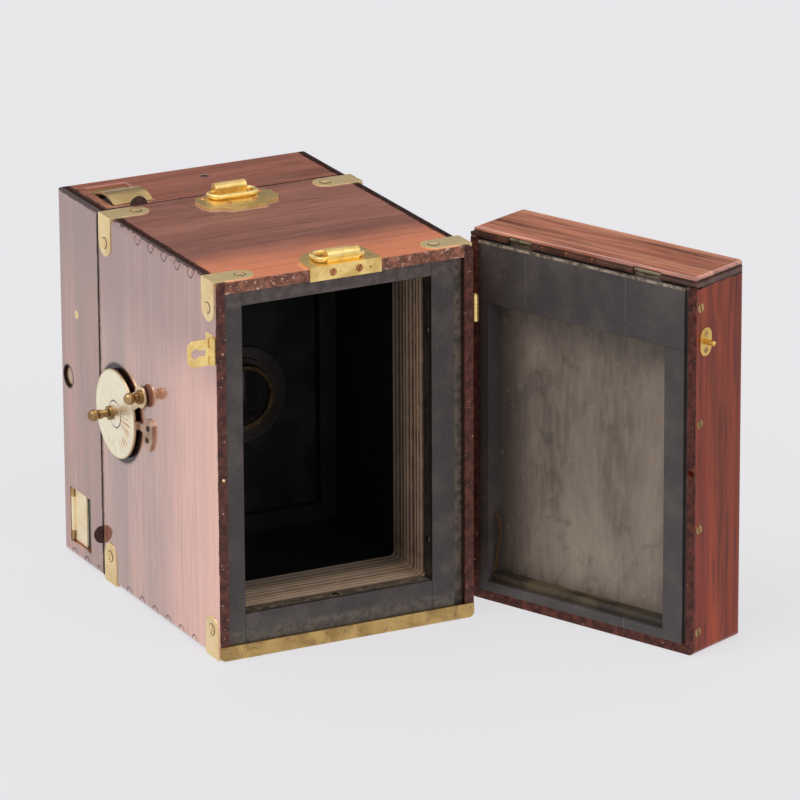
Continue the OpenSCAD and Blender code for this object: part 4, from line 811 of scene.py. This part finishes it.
# Painted shade: the flange screws are black metal, dark as the inside.
worn_node("flange_screws", "lens_carriage", black_metal, 0.0001)
worn_node("lens_barrel", "lens_carriage", barrel_brown, 0.0003)
worn_node("lens_glasses", "lens_carriage", lens_glass, 0)

# Corner brackets: pale satin brass straps let into the edges at both ends of the case, each
# with two flush slotted screws whose heads are ringed by a thin line of painted shade for the gap.
worn_node("corner_brackets", "camera_body", satin_brass, 0.0004, segments=3)
worn_node("bracket_screws", "camera_body", satin_brass, 0.0001)

# Handle plates and strap rings: cut from yellow brass, let down on the top. The front plate is
# pinned, the rear one folds over the edge and is held by two copper screws.
worn_node("handle_plate_front", "camera_body", yellow_brass, 0.0003, segments=3)
worn_node("handle_plate_rear", "camera_body", yellow_brass, 0.0003, segments=3)
worn_node("fitting_screws", "camera_body", copper, 0.0001)
worn_node("ring_front", "front_ring", yellow_brass, 0)
worn_node("ring_rear", "rear_ring", yellow_brass, 0)

# Sill strip and rear frame screws: an aged brass strip across the bottom of the case,
# scratched by the back as it slides on, and brown round-headed screws.
sill_brass = metal("sill_brass", clean=(0.58, 0.39, 0.15), tarnish=(0.22, 0.13, 0.05),
                   amount=0.7, scratches=0.9, rough=0.30, depth=0.00008)
worn_node("sill_strip", "camera_body", sill_brass, 0.00015)
worn_node("frame_screws", "camera_body", screw_bronze, 0.0001)

# Hasps and locating pin: bright yellow keyhole plates on barrels beside the case, and the
# small round-nosed pin in the left rim.
worn_node("hasp_hinges", "camera_body", yellow_brass, 0.0001)
worn_node("hasp_plate_left", "hasp_left", yellow_brass, 0.00015)
worn_node("hasp_plate_right", "hasp_right", yellow_brass, 0.00015)
worn_node("locating_pin", "camera_body", satin_brass, 0)

# Focusing disc: pale lacquered brass, brushed by the clamping disc into scratches that run
# out from the middle. Its lug and the clamping disc carry turned bronze knobs.


def build_disc_brass():
    """Pale brass with a fan of brown scratches, a browned rim, a thin dark ring round the middle and an
    underside painted black as shade.
    """
    material, tree, shader = blank_material("disc_brass")
    plain = piece_coordinates(tree)
    wear = group_node(tree, metal_wear, Vector=plain, Clean=(1.0, 0.94, 0.72, 1),
                      Tarnish=(0.92, 0.74, 0.44, 1), Amount=0.25, Scratches=0.5)
    y = beyond(tree, plain, "Y", DISC_Y)
    z = beyond(tree, plain, "Z", DISC_Z)
    angle = math_node(tree, "ARCTAN2", z, y)
    reach = flat_distance(tree, y, z)
    fan = new_node(tree, "ShaderNodeCombineXYZ")
    link(tree, times(tree, angle, 7.0), fan.inputs[0])
    link(tree, times(tree, reach, 30.0), fan.inputs[1])
    fine_rays = noise(tree, fan.outputs[0], 1.7, detail=5, distortion=0.2, roughness=0.75)
    patches = ramp(tree, noise(tree, plain, 55, detail=2), 0.30, 0.50)
    inner = ramp(tree, reach, 0.0240, 0.016)
    low_rear = ramp(tree, math_node(tree, "SUBTRACT", y, z), -0.002, 0.016)
    rays = times(tree, times(tree, ramp(tree, fine_rays, 0.48, 0.60), patches), inner)
    rays = times(tree, rays, math_node(tree, "MULTIPLY_ADD", low_rear, 0.88, 0.12))
    color = blend_colors(tree, rays, wear.outputs["Color"], (0.60, 0.26, 0.08))
    rim = ramp(tree, reach, 0.0222, 0.0232)
    color = blend_colors(tree, times(tree, rim, 0.5), color, (0.55, 0.33, 0.10))
    # A thin dark ring 7 mm from the middle.
    dark_ring = thin_line(tree, reach, 0.0070, 0.0006, 0.0002)
    # Painted shade: the underside is nearly black, so that its reflection in the polish beside the disc reads
    # dark.
    under = math_node(tree, "LESS_THAN", axis_value(tree, plain, "X"), 0.0741)
    dark = math_node(tree, "MAXIMUM", times(tree, dark_ring, 0.9), under)
    color = blend_colors(tree, dark, color, (0.05, 0.025, 0.012))
    link(tree, color, shader.inputs["Base Color"])
    shader.inputs["Metallic"].default_value = 1.0
    rough = math_node(tree, "MULTIPLY_ADD", wear.outputs["Rough"], 0.2, 0.26)
    link(tree, math_node(tree, "MULTIPLY_ADD", rays, 0.15, rough), shader.inputs["Roughness"])
    set_bump(tree, shader, math_node(tree, "SUBTRACT", wear.outputs["Height"], rays), 0.00004, strength=0.5)
    return material


hinge_brass = metal("hinge_brass", clean=(0.62, 0.44, 0.20), tarnish=(0.24, 0.15, 0.07),
                    amount=0.6, scratches=0.5, rough=0.30)
pale_brass = metal("pale_brass", clean=(1.0, 0.93, 0.74), tarnish=(0.75, 0.6, 0.38),
                   amount=0.3, scratches=0.5, rough=0.22)
worn_node("focus_bush", "camera_body", aged_brass, 0.0001)
spring_bronze = metal("spring_bronze", clean=(0.66, 0.46, 0.33), tarnish=(0.20, 0.11, 0.07),
                      amount=0.6, scratches=0.4, rough=0.30)
worn_node("click_spring", "camera_body", spring_bronze, 0.0002)
worn_node("focus_disc", "disc", build_disc_brass(), 0.0002)
worn_node("focus_spindle", "disc", aged_brass, 0)
worn_node("focus_knob", "disc", bronze, 0)
worn_node("clamp_disc", "clamp", pale_brass, 0.00015)
worn_node("clamp_knob", "clamp", bronze, 0)
worn_node("focus_rack", "lens_carriage", aged_brass, 0)

# Front section: the same rosewood, darker and duller towards the front, with its top of
# brownish wood. Its hinges are on the right side, and a small brass pin shows on the left.
FRONT_SEAM = -0.0715
# Front sides: the drift paints them darker at the top as painted shade, and a painted shadow lies round the
# release button.
wood_front = polished_wood(
    "rosewood_front", UPRIGHT, dark=(0.15, 0.050, 0.024), middle=(0.29, 0.087, 0.040),
    warm=(0.44, 0.14, 0.072), streaks=0.7, polish=0.95, gloss=2.45,
    marks=[(0.0015, -0.0764, 0.0158, 3)], fitting_shadow=(-0.1115, 0.099, 0.0066),
    dark_seams_and_edge_shade=[("Y", FRONT_SEAM, 0.0013), ("Z", TOP, 0.0022)],
    painted_light_drift=[("Z", 0.14, 0.19, (0.12, 0.025, 0.014), 0.5)])
wood_front_top = polished_wood(
    "rosewood_front_top", ACROSS, dark=(0.20, 0.075, 0.055), middle=(0.40, 0.15, 0.105),
    warm=(0.52, 0.20, 0.135), streaks=0.8,
    dark_seams_and_edge_shade=[("Y", FRONT_SEAM, 0.0007), ("X", TOP_JOINT, 0.002), ("X", -TOP_JOINT, 0.002)])
wood_panel = polished_wood(
    "rosewood_panel", UPRIGHT, dark=(0.06, 0.015, 0.009), middle=(0.26, 0.062, 0.028),
    warm=(0.42, 0.11, 0.048), gloss=1.7, dark_seams_and_edge_shade=[("Y", FRONT_SEAM, 0.0013)])
worn_node("front_sides", "front_section", wood_front, 0.0006)
worn_node("front_top_bottom", "front_section", wood_front_top, 0.0006)
worn_node("front_panel", "front_section", wood_panel, 0.0004)
worn_node("front_hinge_leaves", "front_section", hinge_brass, 0.0001)
worn_node("front_hinges_fixed", "camera_body", hinge_brass, 0.0001)
pin_dot = turned_piece("front_pin_dot", [(2.4, -0.6), (2.4, 0.02), (2.1, 0.14), (1.3, 0.2)],
                       at(72, -170, 136), (0, QUARTER, 0))
finish_piece(pin_dot, "front_section", satin_brass)
plug_wood = polished_wood("plug_wood", ACROSS, dark=(0.02, 0.008, 0.006), middle=(0.07, 0.025, 0.016),
                          warm=(0.12, 0.04, 0.022), polish=0.4)
plug = turned_piece("top_plug", [(2.6, -1), (2.6, 0.02), (2.4, 0.12), (1.2, 0.15)], at(-4, -172.5, 200))
finish_piece(plug, "front_section", plug_wood)

# Leather tabs: two short tongues of dark leather fixed behind the seam, one on the top and
# one on the left side, slightly curled and rounded at the end. Sizes are in millimetres.
TAB_WIDE, TAB_THICK = 9.6, 0.7


def build_tab_leather():
    """Dark red-brown leather with a pebbled grain."""
    material, tree, shader = blank_material("tab_leather")
    plain = piece_coordinates(tree)
    grain = new_node(tree, "ShaderNodeTexVoronoi", feature="DISTANCE_TO_EDGE")
    grain.inputs["Scale"].default_value = 1500
    link(tree, plain, grain.inputs["Vector"])
    wear = noise(tree, plain, 300, detail=4)
    tone = blend_colors(tree, ramp(tree, wear, 0.4, 0.7), (0.035, 0.012, 0.009), (0.10, 0.04, 0.026))
    link(tree, tone, shader.inputs["Base Color"])
    link(tree, math_node(tree, "MULTIPLY_ADD", wear, 0.3, 0.4), shader.inputs["Roughness"])
    set_bump(tree, shader, ramp(tree, grain.outputs["Distance"], 0.0, 0.12), 0.00008)
    return material


def leather_tab(name, place, reach, turn):
    """A tongue that stands reach millimetres over its edge, drawn in XZ, curled at the tip."""
    deselect()
    bpy.ops.mesh.primitive_plane_add(size=1, rotation=(QUARTER, 0, 0), location=(0, 0, 0))
    tab = bpy.context.object
    tab.name = name
    tab.scale = (TAB_WIDE * MM, reach * MM, 1)
    bpy.ops.object.transform_apply(location=False, rotation=True, scale=True)
    bpy.ops.object.mode_set(mode="EDIT")
    bpy.ops.mesh.select_all(action="SELECT")
    bpy.ops.mesh.subdivide(number_cuts=1)
    bpy.ops.object.mode_set(mode="OBJECT")
    for vertex in tab.data.vertices:
        if vertex.co.z > 0.0001 and abs(vertex.co.x) > 0.001:
            vertex.co.z *= 0.42
            vertex.co.x *= 0.92
    soft = tab.modifiers.new("soft", "SUBSURF")
    soft.levels = soft.render_levels = 4
    apply_modifiers(tab)
    low = min(vertex.co.z for vertex in tab.data.vertices)
    for vertex in tab.data.vertices:
        vertex.co.z -= low
        curl = 3 * vertex.co.z ** 2
        ripple = 0.00004 * math.sin(vertex.co.x * 900)
        vertex.co.y += ripple - curl
    thick = tab.modifiers.new("leather", "SOLIDIFY")
    thick.thickness = TAB_THICK * MM
    thick.offset = 0
    apply_modifiers(tab)
    tab.rotation_euler = turn
    tab.location = place
    deselect()
    tab.select_set(True)
    bpy.context.view_layer.objects.active = tab
    bpy.ops.object.transform_apply(location=True, rotation=True, scale=True)
    smooth_by_angle(tab, degrees=50)
    return tab


tab_leather = build_tab_leather()
top_tab = leather_tab("top_leather_tab", at(48.4, -141.6, 196.2), 9.4, (0, 0, 0))
side_tab = leather_tab("side_leather_tab", at(68.2, -141.6, 24), 10.0, (0, QUARTER, 0))
finish_piece(top_tab, "front_section", tab_leather, ("pull_tabs",))
finish_piece(side_tab, "front_section", tab_leather, ("pull_tabs",))

# Finders: dark boxes with a mirror and a ground glass each. The top lid is a vaulted sheet of
# yellow brass, the side lid a flat one in its window, both on small barrels.
lid_brass = metal("lid_brass", clean=(0.70, 0.50, 0.22), tarnish=(0.34, 0.21, 0.09),
                  amount=0.5, scratches=0.6, rough=0.28)
cream_brass = metal("cream_brass", clean=(1.0, 0.86, 0.58), tarnish=(0.80, 0.58, 0.30),
                    amount=0.45, scratches=0.5, rough=0.24)
ground_glass = build_glass("ground_glass", (0.62, 0.66, 0.66), rough=0.45, clear=0.2)
worn_node("finder_boxes", "front_section", inside_black, 0.0002)
worn_node("finder_optics", "front_section", ground_glass, 0.0001)
worn_node("finder_hinges", "front_section", hinge_brass, 0)
worn_node("finder_lid_top", "top_finder_lid", lid_brass, 0.0001)
worn_node("finder_lid_side", "side_finder_lid", cream_brass, 0.0001)

# Shutter and release: a black board and a steel blade behind the front, and the turned
# button of brown wood that comes through the left side.
blade_steel = metal("blade_steel", clean=(0.12, 0.115, 0.11), tarnish=(0.05, 0.04, 0.035),
                    amount=0.5, scratches=0.7, rough=0.32)
worn_node("shutter_board", "front_section", inside_black, 0.0002)
worn_node("shutter_blade", "shutter", blade_steel, 0.0001)
button_wood = polished_wood("button_wood", UPRIGHT, dark=(0.28, 0.15, 0.09), middle=(0.46, 0.28, 0.18),
                            warm=(0.58, 0.38, 0.25), polish=0.4)
button_rings = [(1.7, -35), (1.7, -4.2), (2.5, -4.1), (2.5, -3.0), (5.2, -2.9), (5.3, -1.1),
                (5.1, -0.6), (4.2, -0.25), (2.8, -0.08), (1.4, 0.0)]
button = turned_piece("release_button_turned", button_rings, at(71, -182, 99), (0, QUARTER, 0), sides=48)
finish_piece(button, "button", button_wood, ("release_button",))

# Back: its ends and boards are rosewood with upright grain, redder than the case, and its
# lid is orange-red with dark streaks. The inner edge of the lid is a worn brown moulding.
wood_ends = polished_wood(
    "rosewood_ends", UPRIGHT, dark=(0.05, 0.007, 0.004), middle=(0.22, 0.028, 0.011),
    warm=(0.42, 0.066, 0.020), on_back=True, streaks=0.7, polish=0.15, gloss=1.3,
    dark_seams_and_edge_shade=[("Z", 0.195, 0.0012), ("Y", 0.04, 0.0012)], rough_ends=[("Y", 0.0, 0.0006)])
wood_lid = polished_wood(
    "rosewood_lid", ACROSS, dark=(0.09, 0.02, 0.012), middle=(0.66, 0.23, 0.14),
    warm=(0.95, 0.44, 0.27), on_back=True, gloss=1.75, below=[("Z", 0.1984, (0.060, 0.026, 0.018))])
wood_back = polished_wood("rosewood_back", UPRIGHT, **ROSE, on_back=True)
worn_node("back_boards", "back", wood_ends, 0.0003)
worn_node("back_panel", "back", wood_back, 0.0003)
worn_node("back_lid", "lid", wood_lid, 0.0004)

# Frame and recess of the back: black stiles and rails with fine joint lines round a mottled
# grey-brown panel, with the ledge for the plate holder and its bow spring.


def build_recess_board():
    """Bare board gone grey-brown, with fibres, blots and flakes, and painted shade at the end beside the case
    and along the top.
    """
    material, tree, shader = blank_material("recess_board")
    plain = piece_coordinates(tree, on_back=True)
    upright = turned_coordinates(tree, plain, UPRIGHT, (60, 320, 320))
    fibre = noise(tree, upright, 1.0, detail=5, distortion=0.4)
    clouds = noise(tree, mapped(tree, plain, Scale=(1, 1, 0.5)), 30, detail=5, distortion=0.5, roughness=0.62)
    blots = noise(tree, plain, 70, detail=4, distortion=0.8)
    fine = noise(tree, plain, 260, detail=4)
    height = axis_value(tree, plain, "Z")
    # Painted shade at the end beside the case and along the top.
    shade = math_node(tree, "MAXIMUM", ramp(tree, axis_value(tree, plain, "X"), 0.036, 0.012),
                      times(tree, ramp(tree, height, 0.135, 0.165), 0.5))
    top = ramp(tree, height, 0.05, 0.17)
    tone = blend_colors(tree, ramp(tree, fibre, 0.36, 0.66), (0.125, 0.095, 0.076), (0.185, 0.145, 0.113))
    tone = blend_colors(tree, times(tree, ramp(tree, clouds, 0.26, 0.86), 0.85), tone, (0.36, 0.285, 0.222))
    tone = blend_colors(tree, times(tree, ramp(tree, blots, 0.58, 0.76), 0.5), tone, (0.055, 0.040, 0.032))
    tone = blend_colors(tree, times(tree, shade, 0.8), tone, (0.045, 0.035, 0.029))
    chips = group_node(tree, speckle, Vector=plain, Scale=260.0, Amount=0.10)
    flakes = times(tree, times(tree, chips.outputs["Mask"], top), ramp(tree, clouds, 0.48, 0.6))
    tone = blend_colors(tree, flakes, tone, (0.42, 0.17, 0.06))
    tone = blend_colors(tree, times(tree, ramp(tree, fine, 0.62, 0.75), 0.35), tone, (0.36, 0.30, 0.25))
    link(tree, tone, shader.inputs["Base Color"])
    link(tree, math_node(tree, "MULTIPLY_ADD", fine, 0.25, 0.5), shader.inputs["Roughness"])
    set_bump(tree, shader, math_node(tree, "ADD", fibre, fine), 0.0002, strength=0.5)
    return material


JOINT_PALE = (0.07, 0.06, 0.06), (0.17, 0.15, 0.145)
back_black = black_wood(
    "back_black", color=(0.052, 0.043, 0.042), dust=(0.14, 0.115, 0.10), amount=0.38, on_back=True,
    joints=[("Z", 0.1612, 0.0002)],
    # The near-black strip at the end beside the case is painted shade of the case on the stile.
    bare=[("X", 0.0, 0.0090, (0.012, 0.010, 0.0095), (0.03, 0.025, 0.023)),
          ("Z", 0.1931, 0.0010, (0.09, 0.068, 0.048), (0.42, 0.33, 0.24)),
          ("X", 0.0356, 0.0002, *JOINT_PALE), ("X", 0.0995, 0.0002, *JOINT_PALE)])
worn_node("back_frame", "back", back_black, 0.00025)
worn_node("recess_panel", "back", build_recess_board(), 0.0002)
ledge_wood = black_wood("ledge_wood", color=(0.035, 0.026, 0.016), dust=(0.17, 0.12, 0.06), on_back=True)
worn_node("plate_ledge", "back", ledge_wood, 0.0002)
worn_node("plate_spring", "back", screw_bronze, 0.0001)

# Fittings of the back: bronze screws in both ends, oval plates with studs, aged hinges in the
# top rail, the dark catch, and three copper pins in the lid's inner edge.
stud_brass = metal("stud_brass", clean=(0.88, 0.60, 0.18), tarnish=(0.46, 0.25, 0.06),
                   amount=0.5, scratches=0.5, rough=0.22, on_back=True)
dull_brass = metal("dull_brass", clean=(0.34, 0.27, 0.18), tarnish=(0.12, 0.09, 0.06),
                   amount=0.7, scratches=0.5, rough=0.36, on_back=True)
worn_node("back_screws", "back", screw_bronze, 0.0001)
worn_node("stud_plates", "back", stud_brass, 0.00015)
worn_node("lid_hinges_fixed", "back", dull_brass, 0.0001)
worn_node("lid_hinge_leaves", "lid", dull_brass, 0.0001)
worn_node("lid_catch", "lid", black_metal, 0.0002)
for number, u in enumerate((46, 61.4, 78)):
    pin = turned_piece(f"lid_edge_pin_{number + 1}", [(0.9, -1.2), (0.9, -0.08), (0.75, 0.0), (0.4, 0.03)],
                       back_place(u, 0.05, 197), (QUARTER, 0, TURN_BACK), sides=24)
    finish_piece(pin, "lid", copper)
